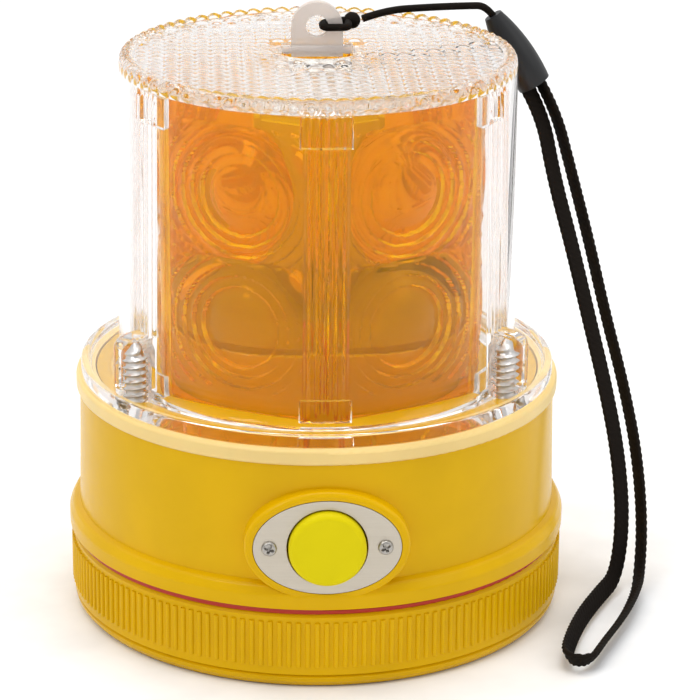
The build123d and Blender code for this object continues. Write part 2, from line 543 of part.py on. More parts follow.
with BuildPart() as upper_leds:
    add(led_row(UPPER_ROW))

with BuildPart() as tower_cap:
    with BuildSketch(Plane.XY.offset(TOWER_TOP + TOUCH)):
        RegularPolygon(TOWER_APOTHEM, 6, major_radius=False, rotation=30)
    extrude(amount=BOARD_THICKNESS)
    with BuildSketch(Plane.XY.offset(TOWER_TOP + TOUCH)):
        Circle(TOWER_BORE - FIT)
    extrude(amount=-3)
    with BuildSketch(Plane.XY.offset(TOWER_TOP - 3)):
        Circle(TOWER_BORE - 2)
    extrude(amount=2.4, mode=Mode.SUBTRACT)

# ---- push button, its plunger, switch, board and screws ------------------------------------------
button_flange = BUTTON_RADIUS + 1.6
FLANGE_FRONT = -((inside**2 - button_flange**2) ** 0.5) + MOVING
FLANGE_BACK = FLANGE_FRONT + 1.4
SWITCH_FACE = -SWITCH_BOARD_FACE - SWITCH_DEPTH
PLUNGER_FACE = SWITCH_FACE - PLUNGER_LENGTH
BUTTON_HOLLOW = SWITCH_SIZE / 2 * 2**0.5 + 0.8
with BuildPart() as push_button:
    with BuildSketch(front_plane(FLANGE_BACK)):
        Circle(button_flange)
    extrude(amount=FLANGE_BACK - FLANGE_FRONT)
    with BuildSketch(front_plane(FLANGE_BACK)):
        Circle(BUTTON_RADIUS)
    extrude(amount=FLANGE_BACK - BUTTON_FACE)
    fillet(push_button.faces().sort_by(Axis.Y)[0].edges(), 1.2)
    with BuildSketch(front_plane(FLANGE_BACK)):
        Circle(BUTTON_HOLLOW)
    extrude(amount=FLANGE_BACK - PLUNGER_FACE + 1.6, mode=Mode.SUBTRACT)
    with BuildSketch(front_plane(PLUNGER_FACE - TOUCH)):
        Circle(PLUNGER_RADIUS + 0.8)
    extrude(amount=2.4)

with BuildPart() as switch_plunger:
    with BuildSketch(front_plane(SWITCH_FACE + BUTTON_TRAVEL / 4)):
        Circle(PLUNGER_RADIUS)
    extrude(amount=PLUNGER_LENGTH + BUTTON_TRAVEL / 4)

with BuildPart() as tact_switch:
    with BuildSketch(front_plane(-SWITCH_BOARD_FACE - TOUCH)):
        Rectangle(SWITCH_SIZE, SWITCH_SIZE)
    extrude(amount=SWITCH_DEPTH - TOUCH)
    chamfer(tact_switch.edges().filter_by(Axis.Y), 0.4)
    with BuildSketch(front_plane(SWITCH_FACE + BUTTON_TRAVEL + 0.8)):
        Circle(PLUNGER_RADIUS + 0.35)
    extrude(amount=10, mode=Mode.SUBTRACT)

with BuildPart() as switch_board:
    with BuildSketch(front_plane(-SWITCH_BOARD_FACE)):
        RectangleRounded(BOARD_WIDTH, BOARD_HEIGHT, 1.5)
        with Locations(*board_boss_spots):
            Circle(BOARD_SCREW_CORE + FIT, mode=Mode.SUBTRACT)
    extrude(amount=-BOARD_THICKNESS)

with BuildPart() as switch_board_screws:
    with Locations(*[Location((x, BOARD_THICKNESS - SWITCH_BOARD_FACE, BUTTON_Z + z), (-90, 0, 0))
                     for x, z in board_boss_spots]):
        add(pan_screw(BOARD_THICKNESS + 3.4, BOARD_SCREW_CORE, 1.7, 1.1))

# ---- switch plate and its two screws -------------------------------------------------------------
PLATE_SCREW_HEAD = 1.6
with BuildPart() as switch_plate:
    with BuildSketch(front_plane(PLATE_SEAT - TOUCH)):
        Ellipse(PLATE_WIDTH / 2, PLATE_HEIGHT / 2)
        Circle(BUTTON_RADIUS + 0.4, mode=Mode.SUBTRACT)
        with Locations((-PLATE_SCREW_SPACING / 2, 0), (PLATE_SCREW_SPACING / 2, 0)):
            Circle(PLATE_SCREW_CORE + FIT, mode=Mode.SUBTRACT)
    extrude(amount=PLATE_THICKNESS - TOUCH)

with BuildPart() as plate_screws:
    with Locations(*[Location((side * PLATE_SCREW_SPACING / 2, FRONT - TOUCH, BUTTON_Z), (90, 0, 0))
                     for side in (-1, 1)]):
        add(pan_screw(4.6, PLATE_SCREW_CORE, PLATE_SCREW_HEAD, 0.7))

# ---- gasket, lens and lens screws ----------------------------------------------------------------
with BuildPart() as lens_gasket:
    with BuildSketch(Plane.XY.offset(STEP_Z + TOUCH)):
        Circle(GASKET_RADIUS)
        Circle(GASKET_RADIUS - GASKET_WIDTH, mode=Mode.SUBTRACT)
    extrude(amount=GASKET_HEIGHT - 2 * TOUCH)
    fillet(lens_gasket.edges().group_by(SortBy.LENGTH)[-1], 0.8)

POCKET_Z = TOP_FACE - POCKET_DEPTH
PIVOT_Z = TOP_FACE - PIVOT_DROP
band_angles = [360 * i / BAND_COUNT for i in range(BAND_COUNT)]
rib_angle = 360 * BAND_RIB_PITCH / (2 * pi * LENS_RADIUS_LOW)
EAR_FACE = LOOP_WIDTH / 2 + MOVING
EAR_RADIUS = 1.6


def lens_wall_radius(z):
    """Outside radius of the tapered lens wall at that height."""
    share = (z - FLANGE_Z) / (LENS_TOP - FLANGE_Z)
    return LENS_RADIUS_LOW + (LENS_RADIUS_TOP - LENS_RADIUS_LOW) * share


with BuildPart() as outer_lens:
    with BuildSketch(Plane.XZ):
        with BuildLine():
            Polyline((0, GASKET_TOP), (FLANGE_RADIUS, GASKET_TOP),
                     (FLANGE_RADIUS, FLANGE_Z + LIP_HEIGHT),
                     (FLANGE_RADIUS - LIP_WIDTH, FLANGE_Z + LIP_HEIGHT),
                     (FLANGE_RADIUS - LIP_WIDTH, FLANGE_Z),
                     (LENS_RADIUS_LOW, FLANGE_Z), (LENS_RADIUS_TOP, LENS_TOP - 1.4),
                     (LENS_RADIUS_TOP - 0.9, LENS_TOP), (LENS_RADIUS_TOP - 2.2, LENS_TOP),
                     (LENS_RADIUS_TOP - 2.8, TOP_FACE), (0, TOP_FACE), close=True)
        make_face()
    revolve(axis=Axis.Z)
    with Locations(*[Location((s.position.X, s.position.Y, GASKET_TOP)) for s in lens_screw_spots]):
        Cylinder(BOSS_RADIUS, BOSS_TOP - GASKET_TOP - 2, align=(Align.CENTER, Align.CENTER, Align.MIN))
    with Locations(*[Location((s.position.X, s.position.Y, BOSS_TOP - 2)) for s in lens_screw_spots]):
        Cone(BOSS_RADIUS, BOSS_RADIUS - 1.6, 2, align=(Align.CENTER, Align.CENTER, Align.MIN))
    with BuildSketch(Plane.XZ):
        with BuildLine():
            Polyline((0, GASKET_TOP - 1), (LENS_INSIDE_LOW, GASKET_TOP - 1), (LENS_INSIDE_LOW, FLANGE_Z),
                     (LENS_INSIDE_TOP, TOP_FACE - LENS_ROOF), (0, TOP_FACE - LENS_ROOF), close=True)
        make_face()
    revolve(axis=Axis.Z, mode=Mode.SUBTRACT)
    for angle in band_angles:
        for z, height in ((FLANGE_Z - 0.4, 5.2), (TOP_FACE - LENS_ROOF - 7.0, LOCATOR_HEIGHT)):
            wall = lens_wall_radius(z) - LENS_WALL - LOCATOR_DEPTH
            with BuildSketch(side_plane(wall, angle, z + height / 2)):
                Rectangle(LOCATOR_WIDTH, height)
            extrude(amount=LOCATOR_DEPTH + LENS_WALL / 2)
        for i in range(BAND_RIBS):
            rib = angle + (i - (BAND_RIBS - 1) / 2) * rib_angle
            top_radius, foot_radius = lens_wall_radius(LENS_TOP - 4), lens_wall_radius(FLANGE_Z)
            with BuildSketch(Plane.XY.offset(FLANGE_Z)):
                with Locations(Location(at_angle(foot_radius, rib), (0, 0, rib))):
                    Rectangle(BAND_RIB_WIDTH, 2 * BAND_RIB_DEPTH)
            with BuildSketch(Plane.XY.offset(LENS_TOP - 4)):
                with Locations(Location(at_angle(top_radius, rib), (0, 0, rib))):
                    Rectangle(BAND_RIB_WIDTH, 2 * BAND_RIB_DEPTH)
            loft()
    with BuildSketch(Plane.XY.offset(TOP_FACE - LENS_ROOF)):
        with Locations((0, (POCKET_BACK + POCKET_FRONT) / 2)):
            RectangleRounded(2 * POCKET_HALF_WIDTH + 3.2, POCKET_BACK - POCKET_FRONT + 3.2, 3)
    extrude(amount=POCKET_Z - POCKET_FLOOR - TOP_FACE + LENS_ROOF)
    with BuildSketch(Plane.XY.offset(POCKET_Z)):
        with Locations((0, (POCKET_BACK + POCKET_FRONT) / 2)):
            RectangleRounded(2 * POCKET_HALF_WIDTH, POCKET_BACK - POCKET_FRONT, 1.4)
    extrude(amount=20, mode=Mode.SUBTRACT)
    for side in (-1, 1):
        with Locations((side * (EAR_FACE + POCKET_HALF_WIDTH + 0.4) / 2, PIVOT_Y, PIVOT_Z)):
            Cylinder(EAR_RADIUS, POCKET_HALF_WIDTH + 0.4 - EAR_FACE, rotation=(0, 90, 0))
        with Locations((side * (EAR_FACE + POCKET_HALF_WIDTH + 0.4) / 2, PIVOT_Y, POCKET_Z)):
            Box(POCKET_HALF_WIDTH + 0.4 - EAR_FACE, 2 * EAR_RADIUS, PIVOT_Z - POCKET_Z,
                align=(Align.CENTER, Align.CENTER, Align.MIN))
    with Locations((0, PIVOT_Y, PIVOT_Z)):
        Cylinder(PIN_RADIUS + TOUCH / 2, 2 * POCKET_HALF_WIDTH - 0.6, rotation=(0, 90, 0),
                 mode=Mode.SUBTRACT)
    with BuildSketch(Plane.XY.offset(GASKET_TOP - 1)):
        with Locations(*lens_screw_spots):
            Circle(LENS_SCREW_RADIUS)
    extrude(amount=BOSS_TOP - GASKET_TOP - 0.6, mode=Mode.SUBTRACT)

with BuildPart() as lens_screws:
    with Locations(*[Location((s.position.X, s.position.Y, BOSS_SEAT), (180, 0, 0))
                     for s in lens_screw_spots]):
        add(pan_screw(BOSS_TOP - BOSS_SEAT - 2.4, LENS_SCREW_RADIUS - TOUCH, 3.4, 2.2))

# ---- amber optic: an open six-sided sleeve with two round lenses on every side -------------------
with BuildPart() as amber_optic:
    with BuildSketch(Plane.XY.offset(OPTIC_Z)) as outline:
        RegularPolygon(OPTIC_APOTHEM, 6, major_radius=False, rotation=30)
        fillet(outline.vertices(), OPTIC_CORNER)
        offset(amount=-OPTIC_WALL, mode=Mode.SUBTRACT)
    extrude(amount=OPTIC_TOP - OPTIC_Z)
    for angle in tower_faces:
        for z in (LOWER_ROW, UPPER_ROW):
            with BuildSketch(side_plane(OPTIC_APOTHEM - 0.5, angle, z)):
                Circle(LENS_RING_RADIUS)
                Circle(LENS_RING_RADIUS - 1.2, mode=Mode.SUBTRACT)
                Circle(4.5)
            extrude(amount=0.5 + LENS_RING_HEIGHT)

# ---- hang loop and its pin -----------------------------------------------------------------------
with BuildPart() as hang_loop:
    with BuildSketch(Plane(origin=(0, PIVOT_Y + LOOP_THICKNESS / 2, PIVOT_Z), x_dir=(1, 0, 0),
                           z_dir=(0, -1, 0))):
        Rectangle(LOOP_WIDTH, LOOP_LENGTH - LOOP_WIDTH / 2, align=(Align.CENTER, Align.MIN))
        with Locations((0, LOOP_LENGTH - LOOP_WIDTH / 2)):
            Circle(LOOP_WIDTH / 2)
        with Locations((0, LOOP_HOLE_UP)):
            Circle(LOOP_HOLE_RADIUS, mode=Mode.SUBTRACT)
    extrude(amount=LOOP_THICKNESS)
    with Locations((0, PIVOT_Y, PIVOT_Z)):
        Cylinder(EAR_RADIUS - 0.1, LOOP_WIDTH, rotation=(0, 90, 0))
        Cylinder(PIN_RADIUS + TOUCH, LOOP_WIDTH, rotation=(0, 90, 0), mode=Mode.SUBTRACT)

with BuildPart() as hang_pin:
    with Locations((0, PIVOT_Y, PIVOT_Z)):
        Cylinder(PIN_RADIUS, 2 * POCKET_HALF_WIDTH - 0.9, rotation=(0, 90, 0))


# ---- wires from the switch board up to the control board -----------------------------------------
WIRE_RADIUS, WIRE_GAP = 0.6, 3.0
WIRE_START = BOARD_THICKNESS + TOUCH - SWITCH_BOARD_FACE
WIRE_END = 4.4 - CONTROL_BOARD_RADIUS
wire_heights = [(WIRE_START, BUTTON_Z + 6.6), (WIRE_START + 3.35, BUTTON_Z + 6.6),
                (-HOLDER_RADIUS - 3.0, STEP_Z - 4.9), (-HOLDER_RADIUS - 2.6, DECK_Z + 2),
                (-HOLDER_RADIUS - 2.9, CONTROL_TOP - 2), (-CONTROL_BOARD_RADIUS, CONTROL_TOP + 4.0),
                (WIRE_END, CONTROL_TOP + 4.2), (WIRE_END, CONTROL_TOP + TOUCH)]
with BuildPart() as switch_wires:
    for side in (-1, 1):
        wire_points = [(side * WIRE_GAP, y, z) for y, z in wire_heights]
        add(tube_along(wire_points, corner_radii(wire_points), WIRE_RADIUS)[0])

# ---- lanyard: a hitch through the loop, a string, a sleeve and a strap ---------------------------
HITCH_Z = PIVOT_Z + LOOP_HOLE_UP
KNOT = (LOOP_WIDTH / 2 + 2.1, PIVOT_Y + 3.4, HITCH_Z + 0.3)
STRAND = LOOP_THICKNESS / 2 + STRING_RADIUS + 0.2
hitch_points = [(KNOT[0] - 1.0, KNOT[1], HITCH_Z + 0.4), (1.2, PIVOT_Y + STRAND + 0.4, HITCH_Z),
                (1.2, PIVOT_Y - STRAND, HITCH_Z),
                (LOOP_WIDTH / 2 + STRING_RADIUS + 0.3, PIVOT_Y - STRAND, HITCH_Z),
                (KNOT[0] - 0.9, KNOT[1] - 1.0, HITCH_Z + 0.1)]
hitch_tube = tube_along(hitch_points, corner_radii(hitch_points, 0.33), STRING_RADIUS)[0]
with BuildPart() as lanyard_hitch:
    with Locations(KNOT):
        Sphere(KNOT_RADIUS)
    add(hitch_tube)

SLEEVE_START, SLEEVE_END = Vector(38.9, 21.5, 125.0), Vector(48.3, 21.0, 109.8)
down = (SLEEVE_END - SLEEVE_START).normalized()
across = Vector(-down.Z, 0, down.X).normalized()
string_points = [(KNOT[0] + KNOT_RADIUS + 0.1, KNOT[1] + 0.4, KNOT[2] + 0.3), (15.0, 12.0, 128.4),
                 (24.0, 15.4, 128.2), (33.0, 19.0, 127.7), tuple(SLEEVE_START - down * 2.5),
                 tuple(SLEEVE_START + down * 1.2)]
string_radii = corner_radii(string_points)
string_tube, string_length = tube_along(string_points, string_radii, STRING_RADIUS)
with BuildPart() as lanyard_cord:
    add(string_tube)

leg = across * (STRAP_RADIUS + 0.1)
strap_points = [tuple(SLEEVE_END - down * 3 + leg), tuple(SLEEVE_END + down * 6 + leg),
                (57.0, 19.8, 90.0), (61.4, 19.2, 74.0), (65.2, 16.2, 58.0), (69.2, 11.2, 43.0),
                (72.0, 5.4, 28.5), (73.0, 0.0, 14.0), (71.9, -5.6, 1.8), (69.8, -14.0, 1.6),
                (65.6, -26.0, 1.6), (59.2, -39.5, 1.6), (55.6, -48.2, 1.6), (50.6, -46.8, 1.6),
                (52.4, -38.2, 1.6), (56.4, -26.0, 1.6), (61.9, -14.0, 1.6), (66.7, -5.2, 2.0),
                (68.4, -1.6, 15.0), (67.4, 3.0, 29.5), (64.6, 8.2, 44.0), (61.0, 12.8, 58.5),
                (57.3, 15.6, 73.5), (52.8, 17.2, 89.5), tuple(SLEEVE_END + down * 6 - leg),
                tuple(SLEEVE_END - down * 3 - leg)]
strap_radii = corner_radii(strap_points)
strap_tube, strap_length = tube_along(strap_points, strap_radii, STRAP_RADIUS)
with BuildPart() as wrist_strap:
    add(strap_tube)

with BuildPart() as lanyard_sleeve:
    with BuildSketch(Plane(origin=SLEEVE_START, x_dir=across, z_dir=down)):
        Circle(SLEEVE_TOP_RADIUS)
    with BuildSketch(Plane(origin=SLEEVE_START + down * 3, x_dir=across, z_dir=down)):
        Circle((SLEEVE_TOP_RADIUS + SLEEVE_END_RADIUS) / 2)
    with BuildSketch(Plane(origin=SLEEVE_END, x_dir=across, z_dir=down)):
        Circle(SLEEVE_END_RADIUS)
    loft()
    with BuildSketch(Plane(origin=SLEEVE_START, x_dir=across, z_dir=down)):
        Circle(STRING_RADIUS + TOUCH)
    extrude(amount=2.6, mode=Mode.SUBTRACT)
    with BuildSketch(Plane(origin=SLEEVE_END, x_dir=across, z_dir=down)):
        SlotOverall(4 * STRAP_RADIUS + 0.2 + 4 * TOUCH, 2 * STRAP_RADIUS + 2 * TOUCH)
    extrude(amount=-5, mode=Mode.SUBTRACT)

for name, length, radii in (("string", string_length, string_radii), ("strap", strap_length, strap_radii)):
    print(name, round(length, 1), "mm, corner radii", [round(radius, 1) for radius in radii])

# ---- STEP files ----------------------------------------------------------------------------------
os.makedirs("parts", exist_ok=True)
base_pad.part.label = "base_pad"
export_step(base_pad.part, "parts/base_pad.step")
magnet.part.label = "magnet"
export_step(magnet.part, "parts/magnet.step")
magnet_keeper.part.label = "magnet_keeper"
export_step(magnet_keeper.part, "parts/magnet_keeper.step")
magnet_screws.part.label = "magnet_screws"
export_step(magnet_screws.part, "parts/magnet_screws.step")
battery_cap.part.label = "battery_cap"
export_step(battery_cap.part, "parts/battery_cap.step")
contact_board.part.label = "contact_board"
export_step(contact_board.part, "parts/contact_board.step")
contact_board_screw.part.label = "contact_board_screw"
export_step(contact_board_screw.part, "parts/contact_board_screw.step")
cell_springs.part.label = "cell_springs"
export_step(cell_springs.part, "parts/cell_springs.step")
cap_seal.part.label = "cap_seal"
export_step(cap_seal.part, "parts/cap_seal.step")
housing.part.label = "housing"
export_step(housing.part, "parts/housing.step")
battery_holder.part.label = "battery_holder"
export_step(battery_holder.part, "parts/battery_holder.step")
holder_screws.part.label = "holder_screws"
export_step(holder_screws.part, "parts/holder_screws.step")
cells.part.label = "cells"
export_step(cells.part, "parts/cells.step")
cell_contacts.part.label = "cell_contacts"
export_step(cell_contacts.part, "parts/cell_contacts.step")
control_board.part.label = "control_board"
export_step(control_board.part, "parts/control_board.step")
control_board_screws.part.label = "control_board_screws"
export_step(control_board_screws.part, "parts/control_board_screws.step")
control_chip.part.label = "control_chip"
export_step(control_chip.part, "parts/control_chip.step")
capacitor.part.label = "capacitor"
export_step(capacitor.part, "parts/capacitor.step")
light_sensor.part.label = "light_sensor"
export_step(light_sensor.part, "parts/light_sensor.step")
led_tower.part.label = "led_tower"
export_step(led_tower.part, "parts/led_tower.step")
led_boards.part.label = "led_boards"
export_step(led_boards.part, "parts/led_boards.step")
lower_leds.part.label = "lower_leds"
export_step(lower_leds.part, "parts/lower_leds.step")
upper_leds.part.label = "upper_leds"
export_step(upper_leds.part, "parts/upper_leds.step")
tower_cap.part.label = "tower_cap"
export_step(tower_cap.part, "parts/tower_cap.step")
push_button.part.label = "push_button"
export_step(push_button.part, "parts/push_button.step")
switch_plunger.part.label = "switch_plunger"
export_step(switch_plunger.part, "parts/switch_plunger.step")
tact_switch.part.label = "tact_switch"
export_step(tact_switch.part, "parts/tact_switch.step")
switch_board.part.label = "switch_board"
export_step(switch_board.part, "parts/switch_board.step")
switch_board_screws.part.label = "switch_board_screws"
export_step(switch_board_screws.part, "parts/switch_board_screws.step")
switch_wires.part.label = "switch_wires"
export_step(switch_wires.part, "parts/switch_wires.step")
switch_plate.part.label = "switch_plate"
export_step(switch_plate.part, "parts/switch_plate.step")
plate_screws.part.label = "plate_screws"
export_step(plate_screws.part, "parts/plate_screws.step")
lens_gasket.part.label = "lens_gasket"
export_step(lens_gasket.part, "parts/lens_gasket.step")
outer_lens.part.label = "outer_lens"
export_step(outer_lens.part, "parts/outer_lens.step")
lens_screws.part.label = "lens_screws"
export_step(lens_screws.part, "parts/lens_screws.step")
amber_optic.part.label = "amber_optic"
export_step(amber_optic.part, "parts/amber_optic.step")
hang_loop.part.label = "hang_loop"
export_step(hang_loop.part, "parts/hang_loop.step")
hang_pin.part.label = "hang_pin"
export_step(hang_pin.part, "parts/hang_pin.step")
lanyard_hitch.part.label = "lanyard_hitch"
export_step(lanyard_hitch.part, "parts/lanyard_hitch.step")
lanyard_cord.part.label = "lanyard_cord"
export_step(lanyard_cord.part, "parts/lanyard_cord.step")
lanyard_sleeve.part.label = "lanyard_sleeve"
export_step(lanyard_sleeve.part, "parts/lanyard_sleeve.step")
wrist_strap.part.label = "wrist_strap"
export_step(wrist_strap.part, "parts/wrist_strap.step")
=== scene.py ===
"""Visual model of a battery-powered magnetic warning light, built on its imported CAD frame.

Everything is in metres in the row frame: +Z up, the push button facing -Y, the origin under the base.
"""

import json
import logging
import math
from dataclasses import dataclass, field
from enum import Enum
from typing import Callable, Iterable, Sequence

import bmesh
import bpy
import numpy as np
from mathutils import Matrix, Vector


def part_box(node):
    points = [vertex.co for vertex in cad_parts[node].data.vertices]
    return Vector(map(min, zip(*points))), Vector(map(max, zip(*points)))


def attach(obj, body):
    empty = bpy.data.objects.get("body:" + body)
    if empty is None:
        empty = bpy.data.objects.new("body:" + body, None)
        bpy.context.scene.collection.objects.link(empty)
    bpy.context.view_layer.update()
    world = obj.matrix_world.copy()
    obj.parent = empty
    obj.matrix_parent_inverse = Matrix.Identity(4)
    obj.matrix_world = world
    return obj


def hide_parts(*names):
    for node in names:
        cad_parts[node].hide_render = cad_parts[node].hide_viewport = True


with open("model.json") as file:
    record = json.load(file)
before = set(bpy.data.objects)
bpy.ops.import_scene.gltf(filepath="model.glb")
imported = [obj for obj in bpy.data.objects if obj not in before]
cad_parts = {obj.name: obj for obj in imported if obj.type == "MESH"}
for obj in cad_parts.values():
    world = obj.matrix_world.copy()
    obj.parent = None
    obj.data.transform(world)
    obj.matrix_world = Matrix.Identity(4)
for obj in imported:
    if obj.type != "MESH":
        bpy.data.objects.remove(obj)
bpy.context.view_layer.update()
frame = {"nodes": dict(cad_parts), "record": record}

log = logging.getLogger("warning_light")
MM = 0.001
Point = tuple[float, float, float]
Colour = tuple[float, float, float]


class Maths(Enum):
    """The operations that shader expressions use."""

    ADD = "ADD"
    SUBTRACT = "SUBTRACT"
    MULTIPLY = "MULTIPLY"
    DIVIDE = "DIVIDE"


class Side(Enum):
    """A side of the light, by the sign of X."""

    LEFT = -1
    RIGHT = 1


class Body(Enum):
    """The bodies that the built pieces ride on."""

    HOUSING = "housing"


# ---- shader maths ------------------------------------------------------------------------------


class Wire:
    """One float socket in a node tree. Arithmetic on it adds Math nodes."""

    def __init__(self, tree: "Tree", socket: bpy.types.NodeSocket) -> None:
        """Wraps a socket of that tree."""
        self.tree, self.socket = tree, socket

    def math(self, operation: Maths, *others: "Wire | float") -> "Wire":
        """Adds one Math node on this value and the others.

        Args:
            operation: the node's operation.
            others: the node's further inputs.

        Returns:
            The node's result.
        """
        inputs = dict(enumerate((self, *others)))
        return self.tree.node("ShaderNodeMath", {"operation": operation.value}, inputs)

    def __add__(self, other: "Wire | float") -> "Wire":
        """Adds."""
        return self.math(Maths.ADD, other)

    def __radd__(self, other: float) -> "Wire":
        """Adds, with a number first."""
        return self.math(Maths.ADD, other)

    def __sub__(self, other: "Wire | float") -> "Wire":
        """Subtracts."""
        return self.math(Maths.SUBTRACT, other)

    def __rsub__(self, other: float) -> "Wire":
        """Subtracts from a number."""
        return (self * -1.0).math(Maths.ADD, other)

    def __mul__(self, other: "Wire | float") -> "Wire":
        """Multiplies."""
        return self.math(Maths.MULTIPLY, other)

    def __rmul__(self, other: float) -> "Wire":
        """Multiplies, with a number first."""
        return self.math(Maths.MULTIPLY, other)

    def __truediv__(self, other: "Wire | float") -> "Wire":
        """Divides."""
        return self.math(Maths.DIVIDE, other)

    def step(self, low: float, high: float) -> "Wire":
        """A smooth 0 to 1 as this value goes from low to high."""
        inputs = {"Value": self, "From Min": low, "From Max": high}
        return self.tree.node("ShaderNodeMapRange", {"interpolation_type": "SMOOTHSTEP"}, inputs)


Value = Wire | float | Sequence[float]


class Tree:
    """A node tree under construction."""

    def __init__(self, owner: bpy.types.Material | bpy.types.World) -> None:
        """Empties the node tree of a material or a world."""
        owner.use_nodes = True
        self.nodes, self.links = owner.node_tree.nodes, owner.node_tree.links
        self.nodes.clear()

    def _put(self, socket: bpy.types.NodeSocket, value: Value) -> None:
        """Links a wire to a socket, or sets its constant."""
        if isinstance(value, Wire):
            self.links.new(value.socket, socket)
        elif isinstance(value, (int, float)) or len(value) != 3 or socket.type == "VECTOR":
            socket.default_value = value
        else:
            socket.default_value = (*value, 1.0)

    def node(self, kind: str, settings: dict[str, object] | None = None,
             inputs: dict[str | int, Value] | None = None, out: str | int | None = 0) -> Wire | None:
        """Adds one node.

        Args:
            kind: the node's type.
            settings: its own settings, set first.
            inputs: values or wires by socket name or number.
            out: the output to return, or None on a node that has none.

        Returns:
            That output as a wire.
        """
        made = self.nodes.new(kind)
        for key, value in (settings or {}).items():
            setattr(made, key, value)
        for key, value in (inputs or {}).items():
            self._put(made.inputs[key], value)
        return None if out is None else Wire(self, made.outputs[out])

    def parts(self, vector: Wire) -> tuple[Wire, Wire, Wire]:
        """A vector's three parts."""
        made = self.node("ShaderNodeSeparateXYZ", inputs={0: vector}).socket.node
        return tuple(Wire(self, made.outputs[i]) for i in range(3))


class Shader(Tree):
    """A material under construction, with one Principled shader."""

    def __init__(self, name: str) -> None:
        """Starts a material of that name."""
        self.material = bpy.data.materials.new(name)
        super().__init__(self.material)
        made = self.node("ShaderNodeBsdfPrincipled")
        self.surface = made.socket.node
        self.node("ShaderNodeOutputMaterial", inputs={"Surface": made}, out=None)

    def place(self) -> Wire:
        """The point on the piece, in metres in the row frame."""
        return self.node("ShaderNodeTexCoord", out="Object")

    def noise(self, scale: float, detail: float = 2.0, at: Wire | None = None) -> Wire:
        """A noise pattern of that many cells to a metre."""
        inputs = {"Vector": at or self.place(), "Scale": scale, "Detail": detail}
        return self.node("ShaderNodeTexNoise", inputs=inputs)

    def blend(self, share: Wire, first: Sequence[float] | Wire, second: Sequence[float] | Wire) -> Wire:
        """A colour between two, by share."""
        settings = {"data_type": "RGBA"}
        return self.node("ShaderNodeMix", settings, {0: share, 6: first, 7: second}, out=2)

    def bump(self, height: Wire, depth: float) -> None:
        """Sinks and raises the surface by height, depth metres at most."""
        wire = self.node("ShaderNodeBump", inputs={"Height": height, "Distance": depth, "Strength": 1.0})
        self.set(Normal=wire)

    def set(self, **values: Value) -> "Shader":
        """Sets or links the Principled shader's sockets, named with _ for a space."""
        for key, value in values.items():
            self._put(self.surface.inputs[key.replace("_", " ")], value)
        return self


# ---- finishes ----------------------------------------------------------------------------------


@dataclass(frozen=True)
class Plastic:
    """An opaque moulded plastic or rubber, with a fine grain."""

    name: str
    colour: Colour
    roughness: float = 0.35
    grain: float = 0.0
    grain_scale: float = 2500.0
    coat: float = 0.0
    subsurface: float = 0.0
    shine: float = 0.4
    dark_below: float = 0.0
    dark: Colour = (0.3, 0.26, 0.13)
    cloud_scale: float = 60.0
    cloud_shade: float = 0.93

    def make(self) -> bpy.types.Material:
        """Makes the material."""
        shader = Shader(self.name)
        shader.set(Roughness=self.roughness, Coat_Weight=self.coat, Coat_Roughness=0.12,
                   Specular_IOR_Level=self.shine)
        cloud = shader.noise(self.cloud_scale, 3.0)
        clouded = tuple(part * self.cloud_shade for part in self.colour)
        shade = shader.blend(cloud.step(0.3, 0.7), clouded, self.colour)
        if self.dark_below:
            _, _, height = shader.parts(shader.place())
            shade = shader.blend(height.step(self.dark_below - 4 * MM, self.dark_below), self.dark, shade)
        shader.set(Base_Color=shade)
        if self.subsurface:
            shader.set(Subsurface_Weight=self.subsurface, Subsurface_Radius=(0.004, 0.003, 0.002))
        if self.grain:
            shader.bump(shader.noise(self.grain_scale, 3.0), self.grain)
        return shader.material


@dataclass(frozen=True)
class Metal:
    """A metal, brushed along X if it has a brush depth."""

    name: str
    colour: Colour
    roughness: float = 0.3
    brush: float = 0.0
    stretch: Point = (60.0, 1.0, 7000.0)

    def make(self) -> bpy.types.Material:
        """Makes the material."""
        shader = Shader(self.name).set(Metallic=1.0, Base_Color=self.colour)
        if self.brush:
            stretched = shader.node("ShaderNodeVectorMath", {"operation": Maths.MULTIPLY.value},
                                    {0: shader.place(), 1: self.stretch})
            lines = shader.noise(1.0, 4.0, stretched)
            shader.set(Roughness=lines.step(0.2, 0.8) * 0.25 + self.roughness)
            shader.bump(lines, self.brush)
        else:
            shader.set(Roughness=shader.noise(900.0) * 0.15 + self.roughness)
        return shader.material


@dataclass(frozen=True)
class Clear:
    """A transparent moulding."""

    name: str
    colour: Colour
    roughness: float = 0.0
    ior: float = 1.34
    clear: float = 1.0
    glint: Colour = (1.0, 1.0, 1.0)

    def make(self) -> bpy.types.Material:
        """Makes the material."""
        shader = Shader(self.name)
        shader.set(Base_Color=self.colour, Roughness=self.roughness, IOR=self.ior,
                   Transmission_Weight=self.clear, Specular_Tint=self.glint)
        return shader.material


